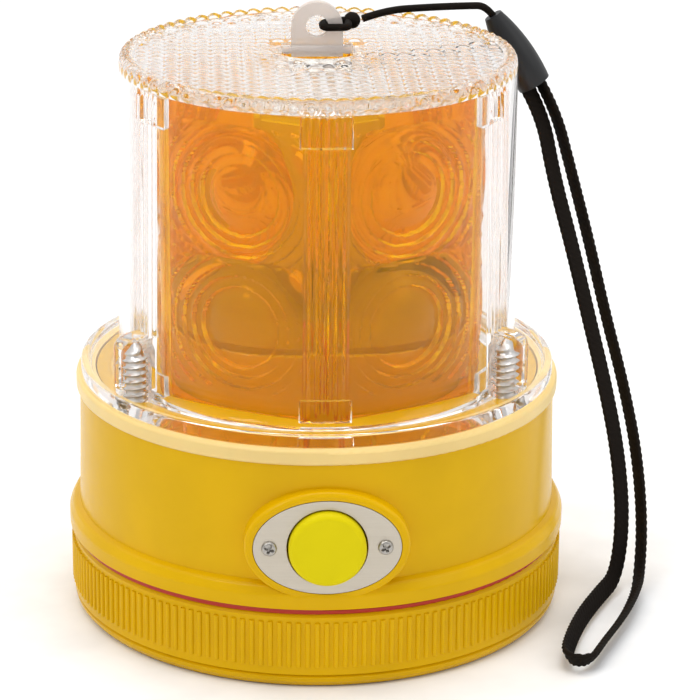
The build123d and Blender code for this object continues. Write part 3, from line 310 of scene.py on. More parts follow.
Finish = Plastic | Metal | Clear
YELLOW = Plastic("yellow_plastic", (0.72, 0.42, 0.0), 0.25, 0.000004, 1800.0, shine=0.12)
BUTTON = Plastic("button_rubber", (0.72, 0.6, 0.0), 0.5, 0.00003, 2600.0, shine=0.12)
RED = Plastic("red_rubber", (0.45, 0.02, 0.002), 0.45)
BLACK_RUBBER = Plastic("black_rubber", (0.012, 0.012, 0.013), 0.45, 0.00002)
MILKY = Plastic("milky_rubber", (0.84, 0.62, 0.24), 0.35, subsurface=0.4)
BRUSHED = Metal("brushed_steel", (0.55, 0.5, 0.42), 0.28, 0.00002)
SCREW = Metal("screw_steel", (0.62, 0.61, 0.6), 0.25)
SCREW_DULL = Metal("plate_screw_steel", (0.42, 0.4, 0.37), 0.3)
NICKEL = Metal("contact_metal", (0.7, 0.67, 0.6), 0.2)
CERAMIC = Plastic("magnet_ceramic", (0.03, 0.03, 0.033), 0.6, 0.00002)
WHITE = Plastic("white_plastic", (0.75, 0.75, 0.72), 0.35)
BLACK = Plastic("black_plastic", (0.02, 0.02, 0.02), 0.4)
BOARD = Plastic("circuit_board", (0.02, 0.12, 0.05), 0.3)
WHITE_BOARD = Plastic("white_board", (0.7, 0.7, 0.68), 0.35, dark_below=0.084)
LED = Plastic("led", (0.85, 0.62, 0.12), 0.15, coat=1.0)
JACKET = Plastic("cell_jacket", (0.04, 0.05, 0.06), 0.25)
WIRE_RED = Plastic("wire", (0.5, 0.02, 0.02), 0.4)
CORD_BLACK = Plastic("black_cord", (0.009, 0.006, 0.004), 0.8, shine=0.12)
FLOOR = Plastic("floor_white", (0.92, 0.92, 0.92), 0.6, shine=0.1)
CLEAR = Clear("clear_plastic", (0.91, 0.89, 0.875), ior=1.42, glint=(0.3, 0.3, 0.3))
AMBER = Clear("amber_plastic", (0.96, 0.5, 0.0), 0.0, 1.49, 0.85, (1.0, 0.5, 0.02))
MILKY_CLEAR = Clear("milky_plastic", (0.93, 0.87, 0.83), 0.35, clear=0.55)


# ---- meshes ------------------------------------------------------------------------------------


def add_mesh(name: str, points: np.ndarray, faces: Iterable[Sequence[int]],
             crease: float = 35.0) -> bpy.types.Object:
    """Makes a mesh object in the scene.

    Args:
        name: the object's name.
        points: its vertices, in metres.
        faces: its faces as vertex numbers.
        crease: edges sharper than this, in degrees, stay sharp.

    Returns:
        The object.
    """
    mesh = bpy.data.meshes.new(name)
    mesh.from_pydata(points.tolist(), [], [tuple(face) for face in faces])
    mesh.update()
    made = bpy.data.objects.new(name, mesh)
    bpy.context.scene.collection.objects.link(made)
    smooth(made, crease)
    return made


def smooth(piece: bpy.types.Object, crease: float) -> None:
    """Shades a piece smooth, with edges sharper than crease degrees kept sharp."""
    mesh = piece.data
    mesh.polygons.foreach_set("use_smooth", [True] * len(mesh.polygons))
    mesh.set_sharp_from_angle(angle=math.radians(crease))


def wrap_grid(rows: int, columns: int, closed_rows: bool = False) -> np.ndarray:
    """Quads of a grid whose columns wrap round, and whose rows do if closed_rows.

    Args:
        rows: points along the profile.
        columns: points round the axis.
        closed_rows: joins the last row to the first.

    Returns:
        One row of four vertex numbers for each quad.
    """
    i, j = np.meshgrid(np.arange(rows if closed_rows else rows - 1), np.arange(columns), indexing="ij")
    here, below, right = i * columns, (i + 1) % rows * columns, (j + 1) % columns
    return np.stack([here + j, here + right, below + right, below + j], -1).reshape(-1, 4)


def ring_tube(name: str, line: np.ndarray, section: Callable[[float], np.ndarray],
              up: Sequence[float]) -> bpy.types.Object:
    """Sweeps a section along a line and caps its ends.

    Args:
        name: the object's name.
        line: the points it follows.
        section: gives the section's points, across and up, at a share of the length.
        up: the direction that the section's second axis starts near.

    Returns:
        The swept piece.
    """
    tangent = np.gradient(line, axis=0)
    tangent /= np.linalg.norm(tangent, axis=1)[:, None]
    across = np.cross(tangent[0], up)
    across /= np.linalg.norm(across)
    run = run_of(line)
    points = []
    for place, along, share in zip(line, tangent, run / run[-1]):
        across = across - along * np.dot(across, along)
        across /= np.linalg.norm(across)
        over = np.cross(across, along)
        shape = section(share)
        points.append(place + shape[:, :1] * across + shape[:, 1:] * over)
    count = len(points[0])
    faces = wrap_grid(len(line), count).tolist()
    faces.append(list(range(count)))
    faces.append(list(range((len(line) - 1) * count, len(line) * count))[::-1])
    made = add_mesh(name, np.concatenate(points), faces, 50.0)
    fix_normals(made)
    return made


def fix_normals(piece: bpy.types.Object) -> None:
    """Turns every face of a closed piece outwards."""
    work = bmesh.new()
    work.from_mesh(piece.data)
    bmesh.ops.recalc_face_normals(work, faces=work.faces)
    work.to_mesh(piece.data)
    work.free()


def curve_line(curve: bpy.types.Object) -> np.ndarray:
    """The points along a curve with no bevel."""
    mesh = bpy.data.meshes.new_from_object(curve.evaluated_get(bpy.context.evaluated_depsgraph_get()))
    return np.array([tuple(vertex.co) for vertex in mesh.vertices])


def run_of(line: np.ndarray) -> np.ndarray:
    """The distance along a line to each of its points."""
    return np.concatenate([[0.0], np.cumsum(np.linalg.norm(np.diff(line, axis=0), axis=1))])


def box_mm(node: str) -> tuple[Point, Point]:
    """The low and high corners of a CAD node, in millimetres."""
    low, high = (tuple(part / MM for part in corner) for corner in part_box(node))
    return low, high


def ring_about(axis: int, turn: np.ndarray, radius: np.ndarray | float, along: float) -> np.ndarray:
    """One ring of points about an axis.

    Args:
        axis: 1 for Y or 2 for Z.
        turn: the points' angles.
        radius: their radius, or one for each.
        along: the ring's place on the axis.

    Returns:
        The points.
    """
    flat = [np.cos(turn) * radius, np.sin(turn) * radius]
    return np.stack(flat[:axis] + [np.full_like(turn, along)] + flat[axis:], -1)


def finish_screws(name: str, node: str, points: list[np.ndarray], faces: list[list[int]], crease: float,
                  metal: Finish) -> list[bpy.types.Object]:
    """Makes one piece of several screws, in the place of a CAD node.

    Args:
        name: the piece's name.
        node: the CAD node that it replaces.
        points: each screw's points, in millimetres.
        faces: all their faces.
        crease: edges sharper than this, in degrees, stay sharp.
        metal: the finish.

    Returns:
        The piece in a list.
    """
    piece = add_mesh(name, np.concatenate(points) * MM, faces)
    tidy_mesh(piece)
    smooth(piece, crease)
    dress(piece, metal)
    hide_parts(node)
    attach(piece, Body.HOUSING.value)
    return [piece]


def dress(piece: bpy.types.Object, finish: Finish) -> None:
    """Gives a piece one finish. A clear piece casts no shadow, so what it covers is lit."""
    piece.data.materials.clear()
    piece.data.materials.append(finish.make())
    piece.visible_shadow = not isinstance(finish, Clear)


# ---- the lanyard -------------------------------------------------------------------------------


@dataclass
class Lanyard:
    """The string from the hang loop and the flat strap that hangs from the rubber sleeve."""

    string_radius: float = 0.8 * MM
    strap_width: float = 3.9 * MM
    strap_thickness: float = 1.5 * MM
    strap_facing: Point = (0.92, 0.4, 0)
    strap_spacing: float = 0.4 * MM
    weave_rate: float = 2.6
    weave_slant: float = 1.1
    weave_strands: float = 2.5
    string_points: list[Point] = field(
        default_factory=lambda: [
            (9.9, 10.6, 126.9), (15.0, 12.0, 128.4), (24.0, 15.4, 128.2), (33.0, 19.0, 127.7),
            (37.6, 21.57, 127.1), (39.5, 21.5, 124.0),
        ]
    )
    strap_points: list[Point] = field(
        default_factory=lambda: [
            (47.9, 21.1, 113.0), (52.7, 20.8, 105.4), (57.0, 19.8, 90.0), (61.4, 19.2, 74.0),
            (65.2, 16.2, 58.0), (69.2, 11.2, 43.0), (72.0, 5.4, 28.5), (73.0, 0.0, 14.0),
            (71.9, -5.6, 3.2), (69.8, -14.0, 2.9), (65.6, -26.0, 2.9), (59.2, -39.5, 2.9),
            (55.6, -48.2, 2.9), (50.6, -46.8, 2.9), (52.4, -38.2, 2.9), (56.4, -26.0, 2.9),
            (61.9, -14.0, 2.9), (66.7, -5.2, 3.2), (68.4, -1.6, 15.0), (67.4, 3.0, 29.5),
            (64.6, 8.2, 44.0), (61.0, 12.8, 58.5), (57.3, 15.6, 73.5), (52.8, 17.2, 89.5),
            (50.1, 20.8, 103.8), (45.3, 21.1, 111.4),
        ]
    )

    def route(self, name: str, points: list[Point]) -> np.ndarray:
        """Lays one smooth line over its control points.

        Args:
            name: the curve's name.
            points: control points in millimetres.

        Returns:
            The points that the line passes, in metres.
        """
        data = bpy.data.curves.new(name, "CURVE")
        data.dimensions, data.resolution_u = "3D", 24
        spline = data.splines.new("NURBS")
        spline.points.add(len(points) - 1)
        for point, place in zip(spline.points, points):
            point.co = (*(MM * c for c in place), 1.0)
        spline.order_u = 3
        spline.use_endpoint_u = True
        curve = bpy.data.objects.new(name, data)
        bpy.context.scene.collection.objects.link(curve)
        line = curve_line(curve)
        bpy.data.objects.remove(curve)
        return line

    def build(self) -> list[bpy.types.Object]:
        """Returns:
            The two pieces.
        """
        line = self.route("string_route", self.string_points)
        string = ring_tube("lanyard_string", line, self.string_section, (0, 0, 1))
        dress(string, CORD_BLACK)
        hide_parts("lanyard_cord")
        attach(string, Body.HOUSING.value)
        strap_line = self.route("strap_route", self.strap_points)
        self.strap_length = length_of(strap_line)
        strap = ring_tube("wrist_strap_braid", evenly(strap_line, self.strap_spacing), self.strap_section,
                          self.strap_facing)
        dress(strap, CORD_BLACK)
        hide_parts("wrist_strap")
        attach(strap, Body.HOUSING.value)
        return [string, strap]

    def string_section(self, share: float) -> np.ndarray:
        """The string's round section."""
        angles = np.linspace(0, 2 * math.pi, 16, endpoint=False)
        return self.string_radius * np.stack([np.cos(angles), np.sin(angles)], -1)

    def strap_section(self, share: float) -> np.ndarray:
        """The strap's flat section, rounded at its edges."""
        angles = np.linspace(0, 2 * math.pi, 44, endpoint=False)
        wide = np.sign(np.cos(angles)) * np.abs(np.cos(angles)) ** 0.5
        thick = np.sign(np.sin(angles)) * np.abs(np.sin(angles)) ** 0.6
        along = share * self.strap_length / self.strap_width
        slant = np.where(np.sin(angles) > 0, self.weave_slant, -self.weave_slant)
        strands = np.abs(np.cos(math.pi * self.weave_strands * wide)) ** 0.5
        weave = np.abs(np.sin(math.pi * (along * self.weave_rate + slant * wide))) * strands
        edge = 1 + 0.035 * np.sin(2 * math.pi * along * self.weave_rate)
        half, deep = edge * self.strap_width / 2, (0.5 + 0.5 * weave) * self.strap_thickness / 2
        return np.stack([wide * half, thick * deep], -1)


def evenly(line: np.ndarray, spacing: float) -> np.ndarray:
    """The same line with points at an even spacing."""
    run = run_of(line)
    places = np.linspace(0.0, run[-1], int(run[-1] / spacing))
    return np.stack([np.interp(places, run, line[:, i]) for i in range(3)], -1)


def length_of(line: np.ndarray) -> float:
    """The length of a line of points."""
    return float(run_of(line)[-1])


# ---- the clear lens ----------------------------------------------------------------------------


@dataclass
class OuterLens:
    """The clear lens: flange with a lip, ribbed wall, scalloped rim, pillowed top and loop pocket.

    Sizes in mm.
    """

    foot_radius: float = 43.0
    top_radius: float = 42.0
    wall: float = 2.3
    roof: float = 2.2
    flange_radius: float = 51.2
    lip_inner: float = 49.3
    boss_circle: float = 45.0
    boss_radius: float = 4.6
    rib_pitch: float = 2.13
    rib_depth: float = 0.55
    pillow: float = 3.25
    pillow_height: float = 0.5
    scallops: int = 78
    pocket_half_width: float = 7.8
    pocket_centre: float = 2.0
    pocket_half_depth: float = 6.6
    pocket_depth: float = 4.6
    band_half: float = 7.6
    band_spacing: float = 0.2
    wall_spacing: float = 0.62
    boss_top: float = 64.6
    boss_dome: float = 2.9
    pad_angle: float = 7.5
    pad_depth: float = 1.3
    ear_radius: float = 1.5
    ear_foot: float = 3.4
    ear_faces: tuple[float, float] = (5.85, 7.6)

    def build(self) -> list[bpy.types.Object]:
        """Builds the lens shell and the two ears that carry the loop's pin.

        Returns:
            The pieces.
        """
        (_, _, self.base), (_, _, self.crown) = box_mm("outer_lens")
        self.face = self.crown - 0.8
        self.angles = self.spread()
        rows = self.outside() + self.inside()
        count = len(self.angles)
        points = np.concatenate(rows) * MM
        faces = wrap_grid(len(rows), count).tolist()
        shell = add_mesh("clear_lens", points, faces, 50.0)
        tidy_mesh(shell)
        dress(shell, CLEAR)
        smooth(shell, 42.0)
        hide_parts("outer_lens")
        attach(shell, Body.HOUSING.value)
        return [shell, *self.ears()]

    def spread(self) -> np.ndarray:
        """The columns' angles from the front, closer together on the rib bands."""
        edges = []
        for band in range(6):
            start = 60.0 * band
            edges.append(np.arange(start - self.band_half, start + self.band_half, self.band_spacing))
            edges.append(np.arange(start + self.band_half, start + 60.0 - self.band_half, self.wall_spacing))
        return np.radians(np.concatenate(edges))

    def row(self, radius: np.ndarray | float, z: np.ndarray | float) -> np.ndarray:
        """One ring of points at a radius and height for each angle."""
        radius, z = np.broadcast_to(radius, self.angles.shape), np.broadcast_to(z, self.angles.shape)
        return np.stack([radius * np.sin(self.angles), -radius * np.cos(self.angles), z], -1)

    def off_band(self) -> np.ndarray:
        """Each angle's distance from the middle of its rib band, in radians."""
        return (self.angles + math.pi / 6) % (math.pi / 3) - math.pi / 6

    def boss(self, z: float) -> np.ndarray:
        """The outside radius of the screw bosses at height z, or 0 between them."""
        rise = max(0.0, (z - self.boss_top) / self.boss_dome)
        size = self.boss_radius * math.sqrt(max(0.0, 1 - min(1.0, rise) ** 2 * 0.9)) if rise < 1 else 0.0
        turn = self.angles % (2 * math.pi / 3) - math.pi / 3
        across = self.boss_circle * np.abs(np.sin(turn))
        inside = (across < size) & (np.abs(turn) < 0.2)
        reach = self.boss_circle * np.cos(turn) + np.sqrt(np.maximum(0.0, size**2 - across**2))
        return np.where(inside, reach, 0.0)

    def wall_radius(self, z: float) -> float:
        """The plain wall's outside radius at height z."""
        share = (z - self.base - 1.6) / (self.crown - self.base)
        return self.foot_radius + (self.top_radius - self.foot_radius) * share

    def ribs(self, z: float) -> np.ndarray:
        """How far the rib bands stand out at height z."""
        turn = np.degrees(self.off_band())
        wave = (0.5 + 0.5 * np.cos(2 * math.pi * (turn / self.rib_pitch + 0.5))) ** 0.8
        fade = min(1.0, max(0.0, (119.0 - z) / 1.0)) * min(1.0, max(0.0, (z - 55.5) / 1.5))
        return self.rib_depth * wave * (np.abs(turn) < 3 * self.rib_pitch) * fade

    def pocket(self, grow: float) -> tuple[np.ndarray, np.ndarray]:
        """The pocket's outline for each angle, seen from its own centre.

        Args:
            grow: how far outside the pocket's wall the outline runs.

        Returns:
            The outline's x and y.
        """
        wide, deep = self.pocket_half_width + grow, self.pocket_half_depth + grow
        sx, sy = np.sin(self.angles), -np.cos(self.angles)
        power = np.where(sy < 0, 2.3, 7.0)
        reach = (np.abs(sx / wide) ** power + np.abs(sy / deep) ** power) ** (-1 / power)
        return reach * sx, reach * sy + self.pocket_centre

    def outside(self) -> list[np.ndarray]:
        """The rings of the outer surface, from the flange's underside to the pocket's floor."""
        floor = self.base + 1.6
        rows = [self.row(r, z) for r, z in (
            (self.foot_radius - self.wall, self.base), (self.flange_radius - 0.4, self.base),
            (self.flange_radius, self.base + 0.4), (self.flange_radius, floor + 0.9),
            (self.flange_radius - 0.2, floor + 1.2), (self.flange_radius - 0.6, floor + 1.3),
            (self.lip_inner + 0.4, floor + 1.3), (self.lip_inner + 0.1, floor + 1.1))]
        profile = [(self.lip_inner, floor + 0.6), (self.lip_inner - 0.4, floor + 0.1), (47.6, floor),
                   (45.6, floor), (44.2, floor + 0.1), (43.5, floor + 0.6), (43.2, floor + 1.3)]
        rows += [self.row(np.maximum(r, self.boss(z)), z) for r, z in profile]
        heights = np.concatenate([np.arange(56.0, 64.5, 1.2), np.linspace(64.6, 67.45, 9), [67.5, 68.0],
                                  np.arange(70.0, 118.0, 6.0), [118.0, 118.6, 119.2]])
        rows += [self.row(np.maximum(self.wall_radius(z) + self.ribs(z), self.boss(z)), z) for z in heights]
        return rows + self.rim() + self.top()

    def rim(self) -> list[np.ndarray]:
        """The rounded rim, cut into scallops."""
        wave = np.abs(np.cos(self.angles * self.scallops / 2)) ** 0.7
        rows = []
        for share in np.linspace(0.0, 1.0, 12):
            turn = share * math.pi * 0.95
            swell = math.sin(turn) ** 0.6 if share else 0.0
            radius = self.top_radius - 1.35 + 1.4 * math.cos(turn) - 0.55 * (1 - wave) * swell
            z = self.crown - 2.2 + 2.2 * math.sin(turn) ** 0.9 - 0.75 * (1 - wave) * swell
            rows.append(self.row(radius, z))
        return rows

    def top(self) -> list[np.ndarray]:
        """The pillowed top, in to the pocket and down it."""
        outer_x = (self.top_radius - 2.9) * np.sin(self.angles)
        outer_y = -(self.top_radius - 2.9) * np.cos(self.angles)
        inner_x, inner_y = self.pocket(0.9)
        rows = []
        for share in np.linspace(0.0, 1.0, 84):
            x, y = outer_x + (inner_x - outer_x) * share, outer_y + (inner_y - outer_y) * share
            fade = min(1.0, share * 40, (1 - share) * 40)
            rows.append(np.stack([x, y, self.face + self.pillows(x, y) * fade], -1))
        for grow, down in ((0.5, 0.0), (0.15, 0.12), (0.0, 0.5), (-0.1, self.pocket_depth - 0.5),
                           (-0.3, self.pocket_depth - 0.1), (-0.8, self.pocket_depth)):
            x, y = self.pocket(grow)
            rows.append(np.stack([x, y, np.full_like(x, self.face - down)], -1))
        rows += self.pool(self.face - self.pocket_depth, -0.8, (0.8, 0.5, 0.2, 0.002))
        return rows

    def pillows(self, x: np.ndarray, y: np.ndarray) -> np.ndarray:
        """The height of the small square pillows at each point of the top."""
        u = np.abs((x / self.pillow) % 1.0 - 0.5) * 2
        v = np.abs((y / self.pillow) % 1.0 - 0.5) * 2
        return self.pillow_height * (1 - u**2.2) * (1 - v**2.2) - 0.1

    def pool(self, z: float, grow: float, shares: Sequence[float]) -> list[np.ndarray]:
        """Rings that close a flat floor in to its centre."""
        x, y = self.pocket(grow)
        middle = self.pocket_centre
        return [np.stack([x * k, middle + (y - middle) * k, np.full_like(x, z)], -1) for k in shares]

    def inside(self) -> list[np.ndarray]:
        """The rings of the inner surface, from under the pocket's floor down to the flange."""
        under = self.face - self.pocket_depth - 1.4
        rows = self.pool(under, 0.6, (0.002, 0.3, 0.7, 0.95))
        for grow, z in ((0.9, under), (1.4, under + 0.5), (1.5, self.face - self.roof - 0.3)):
            x, y = self.pocket(grow)
            rows.append(np.stack([x, y, np.full_like(x, z)], -1))
        x, y = self.pocket(2.0)
        reach = self.top_radius - self.wall - 0.8
        for share in (0.0, 0.25, 0.5, 0.75, 0.97, 1.0):
            away_x = x + (reach * np.sin(self.angles) - x) * share
            away_y = y + (-reach * np.cos(self.angles) - y) * share
            rows.append(np.stack([away_x, away_y, np.full_like(x, self.face - self.roof)], -1))
        pad = np.clip((np.radians(self.pad_angle) - np.abs(self.off_band())) / 0.004, 0, 1) * self.pad_depth
        for z, full in ((self.face - self.roof - 0.8, 0), (118.6, 0), (118.5, 1), (112.3, 1), (112.1, 0),
                        (95.0, 0), (75.0, 0), (59.0, 0), (58.8, 1), (54.0, 1), (53.8, 0), (self.base + 0.3, 0)):
            rows.append(self.row(self.wall_radius(z) - self.wall - pad * full, z))
        return rows + [self.row(self.foot_radius - self.wall, self.base)]

    def ears(self) -> list[bpy.types.Object]:
        """The ears beside the loop that hold its pin."""
        _, pin_y, pin_z = np.mean(box_mm("hang_pin"), axis=0)
        radius, round_top = self.ear_radius, np.linspace(0.2, math.pi - 0.2, 9)
        outline = [(radius, -self.ear_foot), (radius, 0.0)]
        outline += [(radius * math.cos(turn), radius * math.sin(turn)) for turn in round_top]
        outline += [(-radius, 0.0), (-radius, -self.ear_foot)]
        made = []
        for side in Side:
            points = [(side.value * x * MM, (pin_y + a) * MM, (pin_z + b) * MM)
                      for x in self.ear_faces for a, b in outline]
            count = len(outline)
            faces = [[i, (i + 1) % count, (i + 1) % count + count, i + count] for i in range(count)]
            faces += [list(range(count))[::-1], list(range(count, 2 * count))]
            ear = add_mesh(f"lens_ear_{side.name.lower()}", np.array(points), faces, 40.0)
            fix_normals(ear)
            dress(ear, CLEAR)
            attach(ear, Body.HOUSING.value)
            made.append(ear)
        return made


def tidy_mesh(piece: bpy.types.Object) -> None:
    """Merges coincident points of a closed piece, fills its two poles and turns its faces outwards."""
    work = bmesh.new()
    work.from_mesh(piece.data)
    bmesh.ops.remove_doubles(work, verts=work.verts, dist=2e-6)
    bmesh.ops.dissolve_degenerate(work, edges=work.edges, dist=1e-7)
    bmesh.ops.holes_fill(work, edges=[edge for edge in work.edges if edge.is_boundary])
    bmesh.ops.recalc_face_normals(work, faces=work.faces)
    work.to_mesh(piece.data)
    work.free()


# ---- the amber optic ---------------------------------------------------------------------------


@dataclass
class AmberOptic:
    """The open six-sided amber sleeve with two round stepped lenses on each side. Sizes in mm."""

    apothem: float = 33.0
    wall: float = 2.0
    corner: float = 4.0
    spacing: float = 0.34
    rows_at: tuple[float, float] = (71.3, 99.8)
    dome_radius: float = 6.4
    dome_height: float = 2.4
    step: float = 2.3
    step_depth: float = 1.3
    tile_half: float = 16.4
    tile_rise: float = 14.25
    tile_edge: float = 0.5

    def outline(self, apothem: float, corner: float) -> tuple[np.ndarray, np.ndarray, np.ndarray]:
        """The rounded hexagon, starting at the front corner.

        Args:
            apothem: distance of its sides from the axis.
            corner: radius of its corners.

        Returns:
            Its points, their outward normals, and each point's distance along its side from the side's
            middle, which is far away on a corner.
        """
        slope = math.tan(math.pi / 6)
        half = (apothem - corner) * slope
        count = int(2 * (self.apothem - self.corner) * slope / self.spacing)
        points, normals, along = [], [], []
        for side in range(6):
            facing = math.radians(60 * side + 30)
            out = np.array([math.sin(facing), -math.cos(facing)])
            run = np.array([math.cos(facing), math.sin(facing)])
            for u in np.linspace(-half, half, count):
                points.append(out * apothem + run * u)
                normals.append(out)
                along.append(u)
            heart = out * (apothem - corner) + run * half
            for turn in np.radians(np.linspace(0, 60, 12)[1:-1]):
                way = out * math.cos(turn) + run * math.sin(turn)
                points.append(heart + way * corner)
                normals.append(way)
                along.append(99.0)
        return np.array(points), np.array(normals), np.array(along)

    def relief(self, along: np.ndarray, z: float) -> np.ndarray:
        """How far the stepped lenses stand out at height z."""
        up = min((z - row for row in self.rows_at), key=abs)
        out = np.hypot(along, up)
        dome = self.dome_height * np.sqrt(np.maximum(0.0, 1 - (out / (self.dome_radius * 1.15)) ** 2))
        ring = (out - self.dome_radius) / self.step
        saw = self.step_depth * (1 - ring % 1.0) * (0.6 + 0.4 * np.cos(ring * 0.4))
        height = np.where(out < self.dome_radius, dome, saw)
        sides = np.clip((self.tile_half - np.abs(along)) / self.tile_edge, 0, 1)
        return height * sides * min(1.0, max(0.0, (self.tile_rise - abs(up)) / self.tile_edge))

    def build(self) -> list[bpy.types.Object]:
        """Builds the sleeve.

        Returns:
            The piece in a list.
        """
        (_, _, low), (_, _, high) = box_mm("amber_optic")
        points, normals, along = self.outline(self.apothem, self.corner)
        within, _, _ = self.outline(self.apothem - self.wall, self.corner - self.wall)
        rows = []
        for z in np.linspace(low, high, int((high - low) / self.spacing)):
            flat = points + normals * self.relief(along, z)[:, None]
            rows.append(np.column_stack([flat, np.full(len(flat), z)]))
        for z in np.linspace(high, low, 12):
            rows.append(np.column_stack([within, np.full(len(within), z)]))
        faces = wrap_grid(len(rows), len(points), closed_rows=True)
        optic = add_mesh("amber_sleeve", np.concatenate(rows) * MM, faces.tolist(), 50.0)
        fix_normals(optic)
        smooth(optic, 28.0)
        dress(optic, AMBER)
        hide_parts("amber_optic")
        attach(optic, Body.HOUSING.value)
        return [optic]


# ---- screws in the lens bosses -----------------------------------------------------------------


@dataclass
class LensScrews:
    """The self-tapping screws that come up through the deck into the lens bosses. Sizes in mm."""

    circle: float = 45.0
    core: float = 1.45
    crest: float = 2.0
    pitch: float = 1.55
    head: float = 3.4

    def build(self) -> list[bpy.types.Object]:
        """Builds the three screws as one piece.

        Returns:
            The piece in a list.
        """
        (_, _, low), (_, _, high) = box_mm("lens_screws")
        turn = np.linspace(0, 2 * math.pi, 36, endpoint=False)
        rows = [(0.02, low), (self.head * 0.55, low), (self.head * 0.9, low + 0.5), (self.head, low + 1.2),
                (self.head, low + 2.2), (self.core + 0.05, low + 2.2)]
        rings = [ring_about(2, turn, radius, z) for radius, z in rows]
        for z in np.arange(low + 2.4, high - 0.1, 0.14):
            phase = ((z / self.pitch) - turn / (2 * math.pi)) % 1.0
            ridge = np.clip(1 - np.abs(phase - 0.5) / 0.32, 0, 1)
            taper = min(1.0, (high - z) / 2.2) ** 0.6
            rings.append(ring_about(2, turn, (self.core + (self.crest - self.core) * ridge) * taper, z))
        rings.append(ring_about(2, turn, 0.02, high))
        screw = np.concatenate(rings)
        faces, points = [], []
        for i in range(3):
            away = math.radians(60 + 120 * i)
            offset = np.array([self.circle * math.sin(away), -self.circle * math.cos(away), 0.0])
            faces += (wrap_grid(len(rings), len(turn)) + len(points) * len(screw)).tolist()
            points.append(screw + offset)
        return finish_screws("boss_screws", "lens_screws", points, faces, 45.0, SCREW)


@dataclass
class PlateScrews:
    """The two small screws that hold the plate, with rounded heads and cross recesses. Sizes in mm."""

    head: float = 1.6
    height: float = 0.75
    recess: float = 1.05
    depth: float = 0.8
    shank: float = 0.78
    tilts: tuple[float, float] = (20.0, -30.0)

    def build(self) -> list[bpy.types.Object]:
        """Builds both screws as one piece.

        Returns:
            The piece in a list.
        """
        (left, front, low), (right, back, high) = box_mm("plate_screws")
        turn = np.linspace(0, 2 * math.pi, 48, endpoint=False)
        cross = self.recess * (0.42 + 0.58 * np.abs(np.cos(2 * turn)) ** 1.6)
        sole = front + self.height
        rings = [(0.02, front + self.depth + 0.15), (cross * 0.7, front + self.depth), (cross, front + 0.12),
                 (np.maximum(cross + 0.06, 1.1), front + 0.03), (1.35, front + 0.12),
                 (self.head - 0.06, front + 0.36), (self.head, sole - 0.02), (self.head - 0.05, sole),
                 (self.shank + 0.02, sole), (self.shank, back - 0.5), (0.02, back)]
        screw = np.concatenate([ring_about(1, turn, radius, y) for radius, y in rings])
        middle = (low + high) / 2
        faces, points = [], []
        for x, tilt in zip((left + self.head, right - self.head), self.tilts):
            spin = np.array(Matrix.Rotation(math.radians(tilt), 3, "Y"))
            faces += (wrap_grid(len(rings), len(turn)) + len(points) * len(screw)).tolist()
            points.append(screw @ spin.T + np.array([x, 0.0, middle]))
        return finish_screws("plate_screw_pair", "plate_screws", points, faces, 35.0, SCREW_DULL)


# ---- the rigid pieces taken from the frame -------------------------------------------------------


@dataclass
class FramePieces:
    """The CAD pieces that show as they are, each with its finish."""

    finishes: dict[str, Finish] = field(
        default_factory=lambda: {
            "yellow_plastic": YELLOW, "button_rubber": BUTTON, "red_rubber": RED,
            "black_rubber": BLACK_RUBBER, "milky_rubber": MILKY, "brushed_steel": BRUSHED,
            "screw_steel": SCREW, "contact_metal": NICKEL, "magnet_ceramic": CERAMIC,
            "white_plastic": WHITE, "black_plastic": BLACK, "circuit_board": BOARD,
            "white_board": WHITE_BOARD, "led": LED, "cell_jacket": JACKET, "wire": WIRE_RED,
            "black_cord": CORD_BLACK, "clear_plastic": CLEAR, "amber_plastic": AMBER,
            "milky_plastic": MILKY_CLEAR,
        }
    )

    def build(self) -> None:
        """Dresses every CAD node with its slot's finish."""
        made: dict[str, bpy.types.Material] = {}
        for entry in frame["record"]["subparts"]:
            node = frame["nodes"][entry["node"]]
            slot = entry["material_slot"]
            made[slot] = made.get(slot) or self.finishes[slot].make()
            for i in range(max(1, len(node.material_slots))):
                if node.material_slots:
                    node.material_slots[i].material = made[slot]
                else:
                    node.data.materials.append(made[slot])


# ---- floor, light and camera -------------------------------------------------------------------


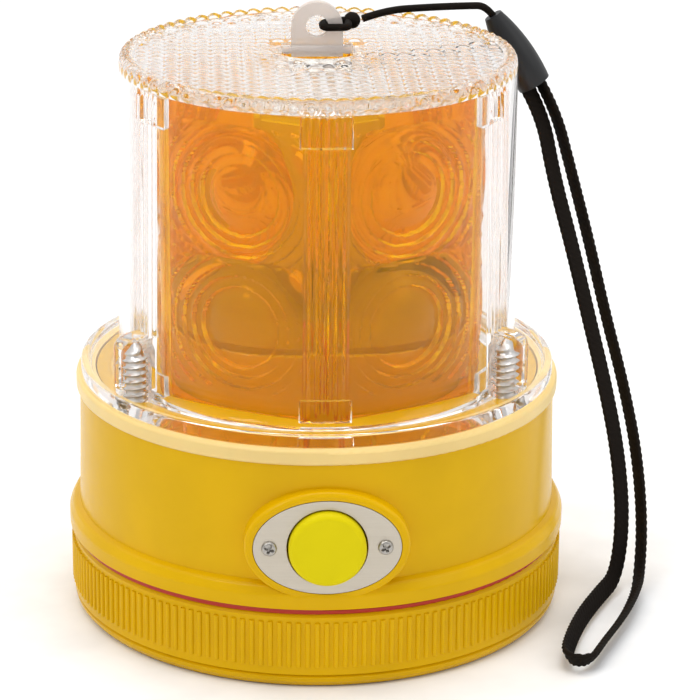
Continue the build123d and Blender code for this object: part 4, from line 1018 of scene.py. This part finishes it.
@dataclass
class Studio:
    """A pale floor, soft lights and the camera."""

    distance: float = 0.62827
    height: float = 0.2759
    pitch: float = 0.337
    yaw: float = 0.0551
    turn: float = 0.04363
    roll: float = 0.0087
    lens: float = 157.2
    floor_size: float = 6.0
    front_sky: float = 0.5
    back_sky: float = 0.95
    top_sky: float = 0.25
    lamps: tuple[tuple[str, Point, float, float], ...] = (
        ("key", (-0.9, -0.8, 1.2), 0.5, 5.0),
        ("fill", (1.1, -0.6, 0.8), 0.6, 2.0),
        ("top", (0.0, 0.0, 1.6), 0.9, 8.5),
    )
    aim_height: float = 0.06
    bounces: int = 32

    def build(self) -> None:
        """Builds the floor, the lights and the camera, and sets how far light is followed."""
        self.floor()
        self.lights()
        self.camera()
        scene = bpy.context.scene
        scene.view_settings.view_transform = "Standard"
        scene.cycles.max_bounces = scene.cycles.transmission_bounces = self.bounces
        scene.cycles.glossy_bounces = self.bounces

    def floor(self) -> None:
        """Lays the floor."""
        half = self.floor_size / 2
        corners = np.array([(-half, -half, 0), (half, -half, 0), (half, half, 0), (-half, half, 0)])
        floor = add_mesh("floor", corners, [(0, 1, 2, 3)])
        floor.location.z = -0.00002
        dress(floor, FLOOR)

    def lights(self) -> None:
        """Sets the sky and three soft lamps."""
        world = bpy.data.worlds.new("studio")
        bpy.context.scene.world = world
        tree = Tree(world)
        _, away, above = tree.parts(tree.node("ShaderNodeTexCoord", out="Generated"))
        back = away.step(-0.7, 0.5) * (self.back_sky - self.front_sky)
        strength = back + self.front_sky + above.step(0.25, 0.8) * self.top_sky
        sky = tree.node("ShaderNodeBackground", inputs={"Color": (1.0, 1.0, 1.0), "Strength": strength})
        tree.node("ShaderNodeOutputWorld", inputs={"Surface": sky}, out=None)
        for name, place, size, power in self.lamps:
            data = bpy.data.lights.new(name, "AREA")
            data.energy, data.size = power, size
            lamp = bpy.data.objects.new(name, data)
            lamp.location = place
            aim = Vector((0, 0, self.aim_height)) - Vector(place)
            lamp.rotation_euler = aim.to_track_quat("-Z", "Y").to_euler()
            bpy.context.scene.collection.objects.link(lamp)

    def camera(self) -> None:
        """Places the camera."""
        data = bpy.data.cameras.new("camera")
        data.lens, data.sensor_width = self.lens, 36.0
        data.clip_start = 0.05
        camera = bpy.data.objects.new("camera", data)
        away, level = self.distance, math.cos(self.pitch)
        place = Vector((-away * math.sin(self.turn), -away * math.cos(self.turn), self.height))
        ahead = Vector((math.sin(self.yaw) * level, math.cos(self.yaw) * level, -math.sin(self.pitch)))
        turned = ahead.to_track_quat("-Z", "Y").to_matrix().to_4x4() @ Matrix.Rotation(self.roll, 4, "Z")
        camera.matrix_world = Matrix.Translation(place) @ turned
        bpy.context.scene.collection.objects.link(camera)
        bpy.context.scene.camera = camera


def main() -> None:
    """Builds the studio and every sub-assembly in order."""
    logging.basicConfig(level=logging.INFO, format="%(name)s: %(message)s")
    Studio().build()
    FramePieces().build()
    for assembly in (Lanyard(), OuterLens(), AmberOptic(), LensScrews(), PlateScrews()):
        for piece in assembly.build():
            log.info("%s: %d faces", piece.name, len(piece.data.polygons))


if __name__ == "__main__":
    main()
